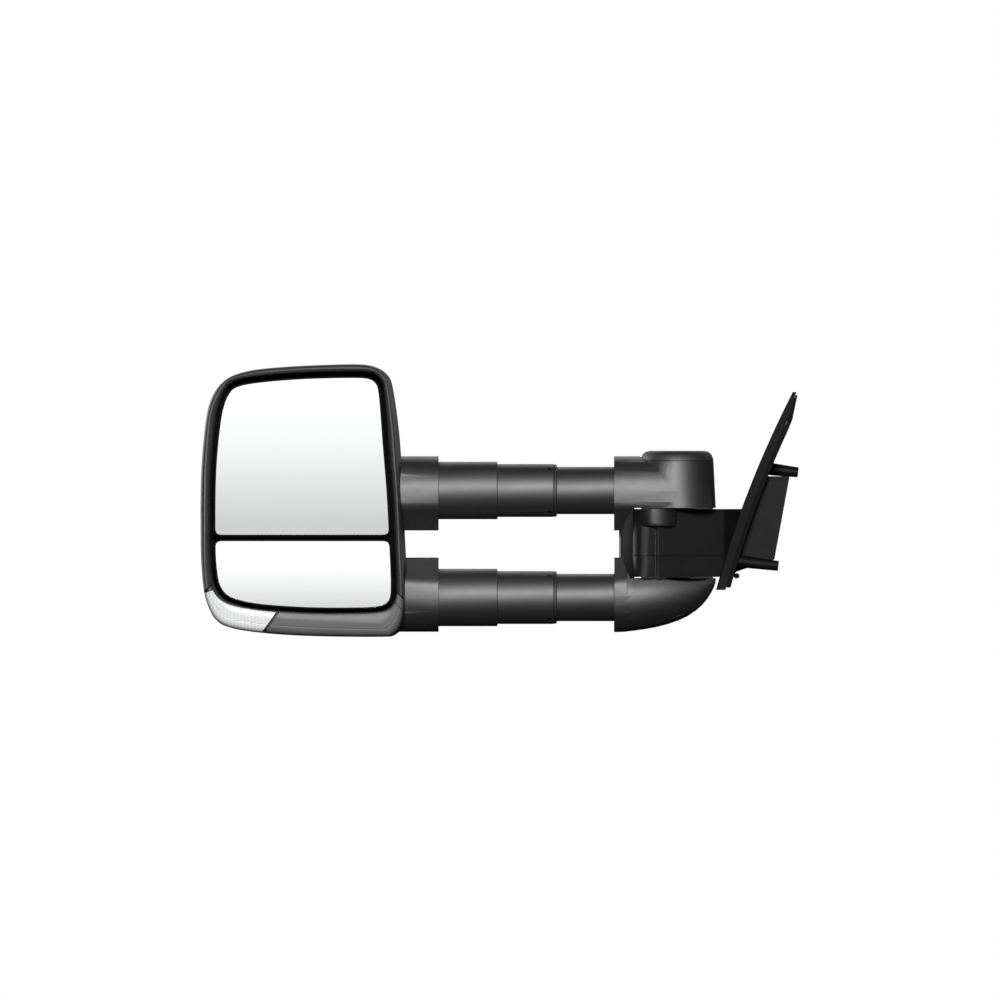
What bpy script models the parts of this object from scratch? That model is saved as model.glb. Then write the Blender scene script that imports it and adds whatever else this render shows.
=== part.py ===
"""Extendable twin-arm towing mirror for the left side of a vehicle.

Frame: origin at the centre of the boss face that meets the door, +X towards the car, +Y to the
front of the car, +Z up. The mirror glass faces -Y. Dimensions are in millimetres; MM turns them
into Blender's metres.
"""

import math

import bmesh
import bpy
from mathutils import Matrix, Vector

MM = 0.001
GAP = 0.3

# Places of the main frames, from the centre of the boss face.
PIVOT = (-105.0, -62.0, 0.0)
UPPER_AXIS_Z = 27.5
LOWER_AXIS_Z = -79.5
HEAD = (-378.0, -62.0, -26.0)

# Telescoping tubes: outer and inner radii, and the ends measured from the fold axis.
INNER_TUBE = (23.7, 20.5)
MIDDLE_SLEEVE = (26.5, 24.0)
OUTER_SLEEVE = (28.75, 26.8)
INNER_TUBE_ENDS = (-155.0, -57.4)
MIDDLE_SLEEVE_ENDS = (-220.0, -123.0)
END_RING_ENDS = (-122.7, -120.1)
OUTER_SLEEVE_ENDS = (-277.0, -179.5)
LOCK_SCREW_X = -127.6
LOCK_SCREW_TURN = 56.0

# Cast socket section shared by the head frame and the hub.
SOCKET_RISE = 34.3
SOCKET_FACE = 11.5
SOCKET_DROP = 40.0
HEAD_HALF_WIDTH = 36.0
HUB_HALF_WIDTH = 38.0
ELBOW_SWING = 150.0
SOCKET_BORE = 29.1

# Pivot barrel and arm of the base bracket.
BRACKET_TOP = 9.0
BRACKET_BOTTOM = -59.0
BRACKET_SPLIT = -38.0
ARM_SWEEP = 40.0
POCKET_RADIUS = 56.5
PIVOT_TUBE = (11.0, 7.0)
PIVOT_BORE = 11.4
WASHER_RADIUS = 18.0
HUB_FLOOR = 10.0
HUB_CEILING = -60.0
CAP_SEAM = 57.0
CAP_TOP = 67.3

# Door side: the sail follows a curve that leans in towards the roof.
SAIL_BOTTOM = -72.0
SAIL_TOP = 126.0
SAIL_FOOT_X = -66.0
SAIL_LEAN = 0.2644
SAIL_CURVE = 0.000622
COVER_DEPTH = 9.5
COVER_WALL = 2.4
PLATE_DEPTHS = (2.8, 8.2)
GASKET_DEPTHS = (9.8, 14.0)
BOSS_TILT = 10.4
POST_TILT = -7.0
CABLE_HOLE = (-20 * math.tan(math.radians(BOSS_TILT)), -22, -20)

# Head depths along Y, from the tube axes.
SHELL_FRONT = -39.7
SHELL_DEPTH = 83.0
SHELL_WALL = 2.5
GLASS_FRONT = -56.0
GLASS_PIVOT = -42.0
CARRIER_BACK = -50.5
UPPER_GLASS = (-102.5, 87.5)
LOWER_GLASS = (-101.5, -30.0)
UPPER_CUT = 7.2
LOWER_CUT = 4.8
ACTUATOR_ARM = 28.0

# Outline of the head and of its glass opening, outboard (-) and up from the head's reference
# point: the inboard bezel edge, half way between the tubes.
HEAD_OUTLINE = [
    (-203.4, 10), (-203.4, 50), (-202, 86), (-197.5, 128), (-190.5, 150), (-178, 164.5),
    (-160, 172), (-136, 175.8), (-94, 178.6), (-48, 179.8), (-31, 177.5), (-20, 170),
    (-14.5, 158), (-8, 110), (-5, 64), (-2, 0), (-0.2, -35), (-0.4, -62), (-3.5, -80),
    (-12, -91), (-28, -92.9), (-100, -91.8), (-150, -88), (-178, -82.3), (-190, -73.5),
    (-197, -59), (-200.5, -44), (-202.8, -18),
]
OPENING_OUTLINE = [
    (-193.8, 0), (-193.5, 62), (-190.5, 106), (-185.5, 138), (-177.5, 155.5), (-167, 162.5),
    (-143, 166.8), (-100, 170.2), (-55, 171.3), (-34, 170.2), (-24, 163.5), (-20, 150),
    (-16, 100), (-12, 50), (-9.2, -4), (-7.9, -40), (-9.5, -56.5), (-17, -65), (-32, -68),
    (-64, -68.8), (-100, -68.2), (-140, -65.5), (-164, -61.5), (-180, -55), (-188.5, -44),
    (-192, -29),
]
HEAD_STATIONS = 72


# ---------------------------------------------------------------- helpers

def clear_scene():
    for obj in list(bpy.data.objects):
        bpy.data.objects.remove(obj, do_unlink=True)


def new_collection(name, helper=False):
    made = bpy.data.collections.new(name)
    bpy.context.scene.collection.children.link(made)
    made.hide_render = helper
    return made


def frame_empty(name, place, parent=None):
    empty = bpy.data.objects.new(name, None)
    empty.location = Vector(place) * MM
    empty.parent = parent
    PARTS.objects.link(empty)
    return empty


def material(name, colour, roughness, metallic=0.0, alpha=1.0):
    made = bpy.data.materials.new(name)
    made.use_nodes = True
    shader = made.node_tree.nodes["Principled BSDF"]
    shader.inputs["Base Color"].default_value = (*colour, 1.0)
    shader.inputs["Roughness"].default_value = roughness
    shader.inputs["Metallic"].default_value = metallic
    shader.inputs["Alpha"].default_value = alpha
    return made


def finish_object(name, bm, frame, look):
    """Turn a bmesh into a smooth-shaded object in its frame. Without a look it is a helper."""
    bmesh.ops.recalc_face_normals(bm, faces=bm.faces)
    if bm.calc_volume(signed=True) < 0:
        bmesh.ops.reverse_faces(bm, faces=bm.faces)
    mesh = bpy.data.meshes.new(name)
    bm.to_mesh(mesh)
    bm.free()
    mesh.shade_smooth()
    mesh.set_sharp_from_angle(angle=math.radians(35))
    obj = bpy.data.objects.new(name, mesh)
    obj.parent = frame
    if look is None:
        obj.hide_render = True
        obj.display_type = "WIRE"
        HELPERS.objects.link(obj)
    else:
        mesh.materials.append(look)
        PARTS.objects.link(obj)
    return obj


def loft(name, rings, frame, look=None, closed=False):
    """Skin rings of equal length. A closed loft joins the last ring to the first, else caps."""
    bm = bmesh.new()
    rows = [[bm.verts.new(Vector(point) * MM) for point in ring] for ring in rings]
    pairs = list(zip(rows, rows[1:]))
    if closed:
        pairs.append((rows[-1], rows[0]))
    else:
        bm.faces.new(rows[0])
        bm.faces.new(rows[-1])
    for first, second in pairs:
        for index in range(len(first)):
            after = (index + 1) % len(first)
            bm.faces.new((first[index], first[after], second[after], second[index]))
    return finish_object(name, bm, frame, look)


def prism(name, outline, axis, low, high, frame, look=None):
    """Extrude a flat outline along X, Y or Z. The outline holds the two other coordinates."""
    number = "XYZ".index(axis)
    bm = bmesh.new()
    corners = []
    for point in outline:
        spot = list(point)
        spot.insert(number, low)
        corners.append(bm.verts.new(Vector(spot) * MM))
    made = bmesh.ops.extrude_face_region(bm, geom=[bm.faces.new(corners)])
    raised = [item for item in made["geom"] if isinstance(item, bmesh.types.BMVert)]
    shift = Vector((0, 0, 0))
    shift[number] = (high - low) * MM
    bmesh.ops.translate(bm, verts=raised, vec=shift)
    return finish_object(name, bm, frame, look)


def box(name, low, high, frame, look=None):
    low, high = Vector(low) * MM, Vector(high) * MM
    bm = bmesh.new()
    size = Matrix.Diagonal((*(high - low), 1.0))
    bmesh.ops.create_cube(bm, size=1.0, matrix=Matrix.Translation((low + high) / 2) @ size)
    return finish_object(name, bm, frame, look)


def lathe(name, profile, frame, look=None, place=(0, 0, 0), turn=(0, 0, 0), steps=32):
    """Turn a closed profile of (radius, height) points about its Z axis with a Screw."""
    area = sum(a[0] * b[1] - b[0] * a[1] for a, b in zip(profile, profile[1:] + profile[:1]))
    points = profile if area < 0 else profile[::-1]
    mesh = bpy.data.meshes.new(name)
    count = len(points)
    edges = [(i, i + 1) for i in range(count - 1)]
    if not any(point[0] == 0 for point in points):
        edges.append((count - 1, 0))
    elif not (points[0][0] == 0 and points[-1][0] == 0):
        raise ValueError(f"{name}: a profile that meets the axis starts and ends on it")
    mesh.from_pydata([(r * MM, 0, z * MM) for r, z in points], edges, [])
    obj = bpy.data.objects.new(name, mesh)
    screw = obj.modifiers.new("Turn", "SCREW")
    screw.steps = screw.render_steps = steps
    screw.use_merge_vertices = True
    screw.merge_threshold = 0.00001
    screw.use_smooth_shade = True
    obj.parent = frame
    obj.location = Vector(place) * MM
    obj.rotation_euler = [math.radians(angle) for angle in turn]
    if look is None:
        obj.hide_render = True
        obj.display_type = "WIRE"
        HELPERS.objects.link(obj)
    else:
        mesh.materials.append(look)
        PARTS.objects.link(obj)
    return obj


ALONG_X = (0, 90, 0)
ALONG_Y = (-90, 0, 0)


def solid_rod(name, radius, low, high, frame, place=(0, 0, 0), turn=(0, 0, 0), steps=28):
    """A plain cylinder along its Z axis, used to cut a hole or to be joined to a part."""
    bm = bmesh.new()
    middle = Matrix.Translation((0, 0, (low + high) / 2 * MM))
    bmesh.ops.create_cone(bm, cap_ends=True, segments=steps, radius1=radius * MM,
                          radius2=radius * MM, depth=(high - low) * MM, matrix=middle)
    rod = finish_object(name, bm, frame, None)
    rod.location = Vector(place) * MM
    rod.rotation_euler = [math.radians(angle) for angle in turn]
    return rod


def tube(name, outer, inner, low, high, frame, look=None, place=(0, 0, 0), turn=(0, 0, 0),
         chamfer=0.6, steps=32):
    profile = [
        (inner, high), (outer - chamfer, high), (outer, high - chamfer),
        (outer, low + chamfer), (outer - chamfer, low), (inner, low),
    ]
    return lathe(name, profile, frame, look, place, turn, steps)


def combine(target, other, operation):
    change = target.modifiers.new(operation.title(), "BOOLEAN")
    change.operation = operation
    change.object = other
    change.solver = "EXACT"


def cut(target, *others):
    for other in others:
        combine(target, other, "DIFFERENCE")


def add(target, *others):
    for other in others:
        combine(target, other, "UNION")


def arc(centre, radius, start, end, count):
    """Points on a circle from start to end, in degrees."""
    turns = [math.radians(start + (end - start) * i / (count - 1)) for i in range(count)]
    return [(centre[0] + radius * math.cos(t), centre[1] + radius * math.sin(t)) for t in turns]


def smooth_closed(points, per_span=6):
    """Closed Catmull-Rom curve through the points."""
    count = len(points)
    found = []
    for index in range(count):
        p0, p1, p2, p3 = (Vector(points[(index + k) % count]) for k in (-1, 0, 1, 2))
        for step in range(per_span):
            t = step / per_span
            found.append(0.5 * (2 * p1 + (p2 - p0) * t + (2 * p0 - 5 * p1 + 4 * p2 - p3) * t * t
                                + (3 * p1 - p0 - 3 * p2 + p3) * t ** 3))
    return found


def evenly(points, count):
    """Resample a closed polyline to count points at equal spacing."""
    ring = list(points) + [points[0]]
    lengths = [0.0]
    for a, b in zip(ring, ring[1:]):
        lengths.append(lengths[-1] + (b - a).length)
    found = []
    spot = 0
    for index in range(count):
        goal = lengths[-1] * index / count
        while lengths[spot + 1] < goal:
            spot += 1
        share = (goal - lengths[spot]) / (lengths[spot + 1] - lengths[spot])
        found.append(ring[spot].lerp(ring[spot + 1], share))
    return found


def inset(points, distance):
    """Move each point of a clockwise outline inwards along its normal."""
    count = len(points)
    moved = []
    for index, point in enumerate(points):
        along = (points[(index + 1) % count] - points[index - 1]).normalized()
        moved.append(point + Vector((along.y, -along.x)) * distance)
    return moved


def clip_level(points, level, keep_above):
    """Cut a closed outline with a horizontal line and keep one side."""
    found = []
    for a, b in zip(points, points[1:] + points[:1]):
        inside_a = (a.y >= level) == keep_above
        inside_b = (b.y >= level) == keep_above
        if inside_a:
            found.append(a)
        if inside_a != inside_b:
            found.append(a.lerp(b, (level - a.y) / (b.y - a.y)))
    return found


def round_sharp(points, radius):
    """Replace each corner sharper than 35 degrees with a short arc of three chords."""
    count = len(points)
    found = []
    for index, point in enumerate(points):
        before = points[index - 1] - point
        after = points[(index + 1) % count] - point
        if math.degrees(before.angle(-after)) < 35:
            found.append(point)
            continue
        start = point + before.normalized() * min(radius, before.length * 0.9)
        end = point + after.normalized() * min(radius, after.length * 0.9)
        for step in range(4):
            t = step / 3
            found.append(start * (1 - t) ** 2 + point * 2 * t * (1 - t) + end * t * t)
    return found


def spaced(points, least):
    """Drop points closer to the one before than least."""
    found = [points[0]]
    for point in points[1:]:
        if (point - found[-1]).length >= least:
            found.append(point)
    while (found[-1] - found[0]).length < least:
        found.pop()
    return found


# ---------------------------------------------------------------- base

def sail_x(height):
    rise = height - SAIL_BOTTOM
    return SAIL_FOOT_X + SAIL_LEAN * rise + SAIL_CURVE * rise * rise


def thinned(depth, height):
    """A depth behind the sail's face, growing thinner towards the sail's top corner."""
    return depth * min(1.0, 1.0 - 0.6 * (height - 96) / 30)


def sail_span(height):
    """Rear and front edge of the sail at a height."""
    rear = -60 + 14 * (height - SAIL_BOTTOM) / (SAIL_TOP - SAIL_BOTTOM)
    front_low = 88 + 10 * min(1.0, (height - SAIL_BOTTOM) / 24)
    front_slope = 98 - 138 * (height + 48) / (SAIL_TOP + 48)
    return rear, min(front_low, front_slope)


def sail_levels():
    return [SAIL_BOTTOM, -69.6] + [-60 + 12.4 * step for step in range(15)] + [123, SAIL_TOP]


def arm_outline(grow=0.0):
    """Plan of the bracket: rounded outboard end round the pivot, arm swept forward to the sail."""
    sweep = math.radians(ARM_SWEEP)
    along = Vector((math.cos(sweep), math.sin(sweep)))
    out = Vector((math.sin(sweep), -math.cos(sweep)))
    rear = Vector((-19, -42)) + out * grow
    front = -out * (30 + grow)
    points = [rear, rear + along * 132, front + along * 125]
    points += [front + along * -18, Vector((-37, 4.5 + grow)), Vector((-42, 0.5))]
    points += [Vector(p) for p in arc((-31.5, -29), 12.5 + grow, 180, 305, 8)]
    points.append(Vector((-21.5, -36.5 - grow)))
    return points


def make_base(base, pivot):
    bracket = prism("base_bracket", arm_outline(), "Z", BRACKET_SPLIT + GAP, BRACKET_TOP, pivot, CAST)
    ear = lathe("bracket_ear", [(0, BRACKET_TOP), (22, BRACKET_TOP), (22, -5), (20.5, -8), (17, -9.5),
                                (0, -9.5)], pivot, place=(-22, -25, 0))
    add(bracket, ear)
    inboard = [(sail_x(z) + PLATE_DEPTHS[0] + 2.5, z) for z in sail_levels()]
    inboard += [(120, SAIL_TOP), (120, SAIL_BOTTOM)]
    inboard_side = prism("inboard_side", inboard, "Y", -120, 160, base)
    cut(bracket, inboard_side)

    rings = []
    for height in sail_levels()[1:-1]:
        rear, front = sail_span(height)
        near = sail_x(height) + PLATE_DEPTHS[0]
        far = sail_x(height) + thinned(PLATE_DEPTHS[1], height)
        edge = COVER_WALL + GAP
        rings.append([(near, rear + edge, height), (near, front - edge, height),
                      (far, front - edge, height), (far, rear + edge, height)])
    plate = loft("backing_plate", rings, base)
    tilt = math.tan(math.radians(BOSS_TILT))
    boss_outline = [(38 * tilt, 38), (sail_x(38) + 5, 38), (sail_x(0) + 5, 0),
                    (sail_x(-40) + 5, -40), (sail_x(-65) + 5, -65), (-54, -65), (-46, -54),
                    (-34, -49.7), (-38 * tilt, -38)]
    boss = prism("boss", boss_outline, "Y", -38, 22, base)
    add(bracket, plate, boss)
    for name, place, length in (
        ("upper_post", (-19.5, -6, 50), 36), ("lower_rear_post", (-52, -46.5, -42), 48.8),
        ("lower_front_post", (-52, 45, -42), 48.8),
    ):
        post = lathe(name, [(0, length), (5.05, length), (6.2, 10), (6.4, 0), (0, 0)], base,
                     place=place, turn=(0, 90 - POST_TILT, 0), steps=24)
        hole = solid_rod(name + "_hole", 2.6, length - 20, length + 5, base, place=place,
                         turn=(0, 90 - POST_TILT, 0), steps=16)
        add(bracket, post)
        cut(bracket, hole)
    bore = solid_rod("pivot_bore", PIVOT_BORE, -80, 30, pivot)
    recess = solid_rod("upper_washer_recess", WASHER_RADIUS + 0.4, BRACKET_TOP - 1.6, 20, pivot)
    cable_hole = solid_rod("cable_hole", 10, -17, 20, base, place=CABLE_HOLE,
                           turn=(0, 90 + BOSS_TILT, 0))
    cut(bracket, bore, recess, cable_hole)

    lower = prism("arm_lower_cover", arm_outline(), "Z", BRACKET_BOTTOM, BRACKET_SPLIT, pivot, CAST)
    keep_off = [(sail_x(z) - GAP, z) for z in sail_levels()]
    keep_off += [(120, SAIL_TOP), (120, SAIL_BOTTOM)]
    sail_side = prism("sail_side", keep_off, "Y", -140, 160, base)
    low_recess = solid_rod("lower_washer_recess", WASHER_RADIUS + 0.4, -80, BRACKET_BOTTOM + 1.6, pivot)
    cut(lower, sail_side, bore, low_recess)

    make_sail(base, pivot)
    grommet_turn = (0, 90 + BOSS_TILT, 0)
    lathe("cable_grommet", [(5, -0.4), (8.5, -0.4), (9.6, -1.5), (9.6, -10), (8, -12), (5, -12)], base,
          RUBBER, place=CABLE_HOLE, turn=grommet_turn, steps=24)
    lathe("locating_peg", [(0, 10.5), (1.5, 10.5), (2.6, 8.5), (2.6, 6.5), (1.9, 6), (1.9, 2),
                           (4, 1.6), (4, 0.4), (0, 0.4)], base, PLASTIC,
          place=(sail_x(-57) + PLATE_DEPTHS[1] + 0.6, -48.5, -56.5), turn=(0, 100, 0), steps=16)


def make_sail(base, pivot):
    rings = []
    for index, height in enumerate(sail_levels()):
        rear, front = sail_span(height)
        face = sail_x(height)
        solid_end = index in (0, len(sail_levels()) - 1)
        floor = thinned(COVER_DEPTH, height) - 0.3 if solid_end else COVER_WALL
        if index == 1:
            rings.append(cover_ring(face, rear, front, COVER_DEPTH - 0.3, height - 0.2))
        rings.append(cover_ring(face, rear, front, floor, height))
    cover = loft("sail_cover", rings, base, PLASTIC)
    window = prism("arm_window", arm_outline(0.5), "Z", BRACKET_BOTTOM - 0.5, BRACKET_TOP + 0.5, pivot)
    cut(cover, window)

    outline = []
    levels = sail_levels()[1:-1]
    outline += [Vector((sail_span(z)[0] + 0.4, z)) for z in levels]
    outline += [Vector((sail_span(z)[1] - 0.4, z)) for z in reversed(levels)]
    corners = spaced(outline, 1.0)
    inner = inset(corners, 4.2)
    rings = []
    for outer_point, inner_point in zip(corners, inner):
        section = [(outer_point, GASKET_DEPTHS[0]), (outer_point, GASKET_DEPTHS[1]),
                   (inner_point, GASKET_DEPTHS[1]), (inner_point, GASKET_DEPTHS[0])]
        rings.append([(sail_x(point.y) + thinned(depth, point.y), point.x, point.y)
                      for point, depth in section])
    loft("sail_gasket", rings, base, RUBBER, closed=True)


def cover_ring(face, rear, front, floor, height):
    wall = COVER_WALL
    depth = thinned(COVER_DEPTH, height)
    return [
        (face, rear + 1.2, height), (face, front - 1.2, height), (face + 1.2, front, height),
        (face + depth, front, height), (face + depth, front - wall, height),
        (face + floor, front - wall, height), (face + floor, rear + wall, height),
        (face + depth, rear + wall, height), (face + depth, rear, height),
        (face + 1.2, rear, height),
    ]


def make_pivot(pivot):
    outer, inner = PIVOT_TUBE
    lathe("pivot_tube", [(inner, 55.5), (outer - 0.8, 55.5), (outer, 54.7), (outer, -88), (16.5, -88),
                         (16.5, -91.5), (inner, -91.5)], pivot, STEEL, steps=32)
    tube("upper_thrust_washer", WASHER_RADIUS, 11.8, 7.7, 9.7, pivot, NYLON, chamfer=0.3, steps=32)
    tube("lower_thrust_washer", WASHER_RADIUS, 11.8, -59.7, -57.7, pivot, NYLON, chamfer=0.3, steps=32)
    make_spring(pivot)
    tube("spring_washer", 21, 11.4, 43.2, 46.2, pivot, STEEL, chamfer=0.5, steps=32)
    nut = prism("pivot_nut", arc((0, 0), 17, 0, 300, 6), "Z", 46.5, 53.5, pivot, STEEL)
    cut(nut, solid_rod("nut_bore", 11.3, 40, 60, pivot))


def make_spring(pivot):
    coils, steps_per_turn, wire = 3, 10, 1.8
    low, high, radius = 26.3 + wire, 42.8 - wire, 16
    count = coils * steps_per_turn
    curve = bpy.data.curves.new("pivot_spring", "CURVE")
    curve.dimensions = "3D"
    curve.bevel_depth = wire * MM
    curve.bevel_resolution = 1
    curve.use_fill_caps = True
    spline = curve.splines.new("POLY")
    spline.points.add(count)
    for index in range(count + 1):
        turn = 2 * math.pi * index / steps_per_turn
        height = low + (high - low) * index / count
        point = (radius * math.cos(turn) * MM, radius * math.sin(turn) * MM, height * MM, 1)
        spline.points[index].co = point
    curve.materials.append(STEEL)
    obj = bpy.data.objects.new("pivot_spring", curve)
    obj.parent = pivot
    PARTS.objects.link(obj)


# ---------------------------------------------------------------- hub

def socket_section(half_width, centre_z, upwards=True, grow=0.0):
    """Socket outline in Y and Z: round on the outside, sloped faces on the side of the gap."""
    wide, rise = half_width + grow, SOCKET_RISE + grow
    points = [(wide * math.cos(t), rise * math.sin(t))
              for t in (math.pi * i / 16 for i in range(17))]
    lower = [(-wide, -SOCKET_FACE), (-wide + 1.6, -16.5), (-wide + 4.8, -20.5 - grow),
             (-15, -SOCKET_DROP - grow)]
    points += lower + [(-y, z) for y, z in reversed(lower)]
    sign = 1 if upwards else -1
    return [(y, centre_z + sign * z) for y, z in points]


def elbow_rings():
    """Oval sections of the lower elbow, flat on top, closing in towards the fold axis."""
    rings = []
    depths = ((-63, 54.2), (-53, 53.9), (-42, 52.6), (-30, 50.9), (-18, 48.6), (-8, 45.8),
              (2, 42.3), (11, 38), (19, 32.6), (25, 27.3), (30, 21.5), (34, 15.2), (37, 9.5),
              (38.7, 4))
    for along, depth in depths:
        inward = max(0.0, along + 47)
        swing = ELBOW_SWING - math.sqrt(ELBOW_SWING ** 2 - inward ** 2)
        rim = math.sqrt(38.9 ** 2 - max(0.0, along) ** 2) * 0.977
        wide = min(HUB_HALF_WIDTH - swing, rim)
        middle = HUB_CEILING - 0.36 * depth
        half = 0.64 * depth
        ring = [(along, wide * 0.75, HUB_CEILING + 5)]
        ring += [(along, wide * math.cos(t), middle - half * math.sin(t))
                 for t in (math.radians(-34.2 + 248.4 * i / 16) for i in range(17))]
        ring.append((along, -wide * 0.75, HUB_CEILING + 5))
        rings.append(ring)
    return rings


def make_hub(pivot):
    hub = prism("fold_hub", socket_section(HUB_HALF_WIDTH, UPPER_AXIS_Z), "X", -63, 0, pivot, CAST)
    cap_room = solid_rod("cap_room", 37.0, CAP_SEAM, 80, pivot, steps=36)
    cut(hub, cap_room)
    barrel = lathe("upper_barrel", [(0, CAP_SEAM), (36.5, CAP_SEAM), (39, HUB_FLOOR - 4),
                                    (0, HUB_FLOOR - 4)], pivot, steps=36)
    lower_socket = prism("lower_socket", socket_section(HUB_HALF_WIDTH - 0.2, LOWER_AXIS_Z, False),
                         "X", -62.7, -50, pivot)
    elbow = loft("elbow", elbow_rings(), pivot)
    web = box("web", (-58, 5, -70), (-30, 37, 20), pivot)
    add(hub, barrel, lower_socket, elbow, web)
    pocket = solid_rod("bracket_pocket", POCKET_RADIUS, HUB_CEILING, HUB_FLOOR, pivot, steps=48)
    spring_well = solid_rod("spring_well", 27, 26, 90, pivot)
    bore = solid_rod("hub_bore", PIVOT_BORE, -95, 40, pivot)
    flange_well = solid_rod("flange_well", 17, -130, -87.6, pivot)
    cut(hub, spring_well, flange_well)
    for label, height in (("upper", UPPER_AXIS_Z), ("lower", LOWER_AXIS_Z)):
        seat = solid_rod(label + "_tube_seat", 24.1, -80, -57, pivot, place=(0, 0, height),
                         turn=ALONG_X, steps=32)
        spigot = tube(label + "_spigot", 20.0, 9, -84, -50, pivot, place=(0, 0, height),
                      turn=ALONG_X, chamfer=0.5)
        cut(hub, seat)
        add(hub, spigot)
        tube(label + "_inner_tube", *INNER_TUBE, *INNER_TUBE_ENDS, pivot, ALUMINIUM,
             place=(0, 0, height), turn=ALONG_X)
    cut(hub, pocket, bore)
    lathe("hub_top_cap", [(0, CAP_TOP), (27, CAP_TOP), (31.5, 66.2), (34.6, 63.3), (36.2, 59.5),
                          (36.5, CAP_SEAM + GAP), (28, CAP_SEAM + GAP), (26, 60), (0, 62)],
          pivot, PLASTIC, steps=36)
    plug = lathe("pivot_plug", [(0, -92.5), (16.2, -92.5), (16.2, -120), (0, -120)], pivot,
                 PLASTIC, steps=36)
    combine(plug, elbow, "INTERSECT")


# ---------------------------------------------------------------- sliding sleeves

def make_middle_sleeve(label, height, frame):
    sleeve = tube(label + "_middle_sleeve", *MIDDLE_SLEEVE, *MIDDLE_SLEEVE_ENDS, frame, ALUMINIUM,
                  place=(0, 0, height), turn=ALONG_X)
    inner, outer = MIDDLE_SLEEVE[1], MIDDLE_SLEEVE[0]
    low, high = END_RING_ENDS
    lathe(label + "_end_ring", [(inner, high), (outer - 1.6, high), (outer - 0.5, high - 0.6),
                                (outer - 0.2, high - 1.6), (outer - 0.2, low), (inner, low)],
          frame, PLASTIC, place=(0, 0, height), turn=ALONG_X)
    for side, turn in (("top", -LOCK_SCREW_TURN), ("bottom", LOCK_SCREW_TURN)):
        place = (LOCK_SCREW_X, 0, height)
        tilt = (90 + turn, 0, 0)
        hole = solid_rod(f"{label}_{side}_hole", 2.3, 20, 30, frame, place=place, turn=tilt, steps=14)
        cut(sleeve, hole)
        lathe(f"{label}_{side}_lock_screw", [(0, 25.6), (0.9, 25.6), (0.9, 26.3), (2, 26.3), (2, 24.3),
                                             (0, 24.3)], frame, STEEL, place=place, turn=tilt, steps=14)


# ---------------------------------------------------------------- head

def head_outlines():
    """Matching points of the outer and the opening outline, clockwise from the outboard side."""
    outer = evenly(smooth_closed([Vector(p) for p in HEAD_OUTLINE]), HEAD_STATIONS)
    opening = smooth_closed([Vector(p) for p in OPENING_OUTLINE])
    centre = Vector((-102, 44))
    inner = [ray_hit(centre, point, opening) for point in outer]
    return outer, inner


def ray_hit(centre, through, outline):
    ray = through - centre
    for a, b in zip(outline, outline[1:] + outline[:1]):
        edge = b - a
        cross = ray.x * edge.y - ray.y * edge.x
        if abs(cross) < 1e-9:
            continue
        gap = a - centre
        along_ray = (gap.x * edge.y - gap.y * edge.x) / cross
        along_edge = (gap.x * ray.y - gap.y * ray.x) / cross
        if along_ray > 0 and 0 <= along_edge <= 1:
            return centre + ray * along_ray
    raise ValueError("the opening does not surround its centre")


def station(outline, place):
    """Point of a closed outline at a fractional station."""
    low = math.floor(place)
    count = len(outline)
    return outline[low % count].lerp(outline[(low + 1) % count], place - low)


def across(outer, inner, depth):
    """Point at a depth in millimetres from the outer outline; negative counts from the opening."""
    span = inner - outer
    if depth < 0:
        depth += span.length
    return outer + span.normalized() * depth


BEZEL_RING = [(0, -40), (0, -56), (0.8, -61), (3.5, -64), (6.0, -62.8), (-1.6, -57), (-0.01, -51),
              (-0.01, -48), (-2.2, -48), (5.2, -59), (3.4, -60.4), (2.6, -56), (2.6, -40)]
BEZEL_CHIN = [(0, -40), (0, -45.8), (3.0, -45.9), (3.0, -51.5), (4.5, -52.5), (-5, -52.5),
              (-0.01, -51.6), (-0.01, -48), (-2.2, -48), (8, -50.3), (6, -50), (5.4, -47), (2.6, -40)]
TRIM_SECTION = [(0, -46.2), (0, -53), (1.2, -58.5), (4, -62.6), (9.4, -64), (-2.4, -62.6), (-1.4, -61.4),
                (-1.4, -53), (-3.8, -53), (-4.2, -60.6), (9.2, -61.6), (5.5, -60.2), (3.0, -57),
                (2.3, -46.2)]
CHIN_ENDS = ((-1, -56), (-134, -90))
LENS_ENDS = ((-138, -90), (-200.5, -50))
SEAM_SLANT = -0.9
TIP_SLANT = 0.6


def swept_section(outer, inner, place, section, slant=0.0):
    ring = []
    for depth, y in section:
        span = (station(inner, place) - station(outer, place)).length
        share = (depth if depth >= 0 else span + depth) / span
        spot = place + slant * (share - 0.5)
        point = across(station(outer, spot), station(inner, spot), depth)
        ring.append((point.x, y, point.y))
    return ring


def nearest_station(outline, point):
    spots = [i / 20 for i in range(20 * len(outline))]
    return min(spots, key=lambda spot: (station(outline, spot) - Vector(point)).length)


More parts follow.
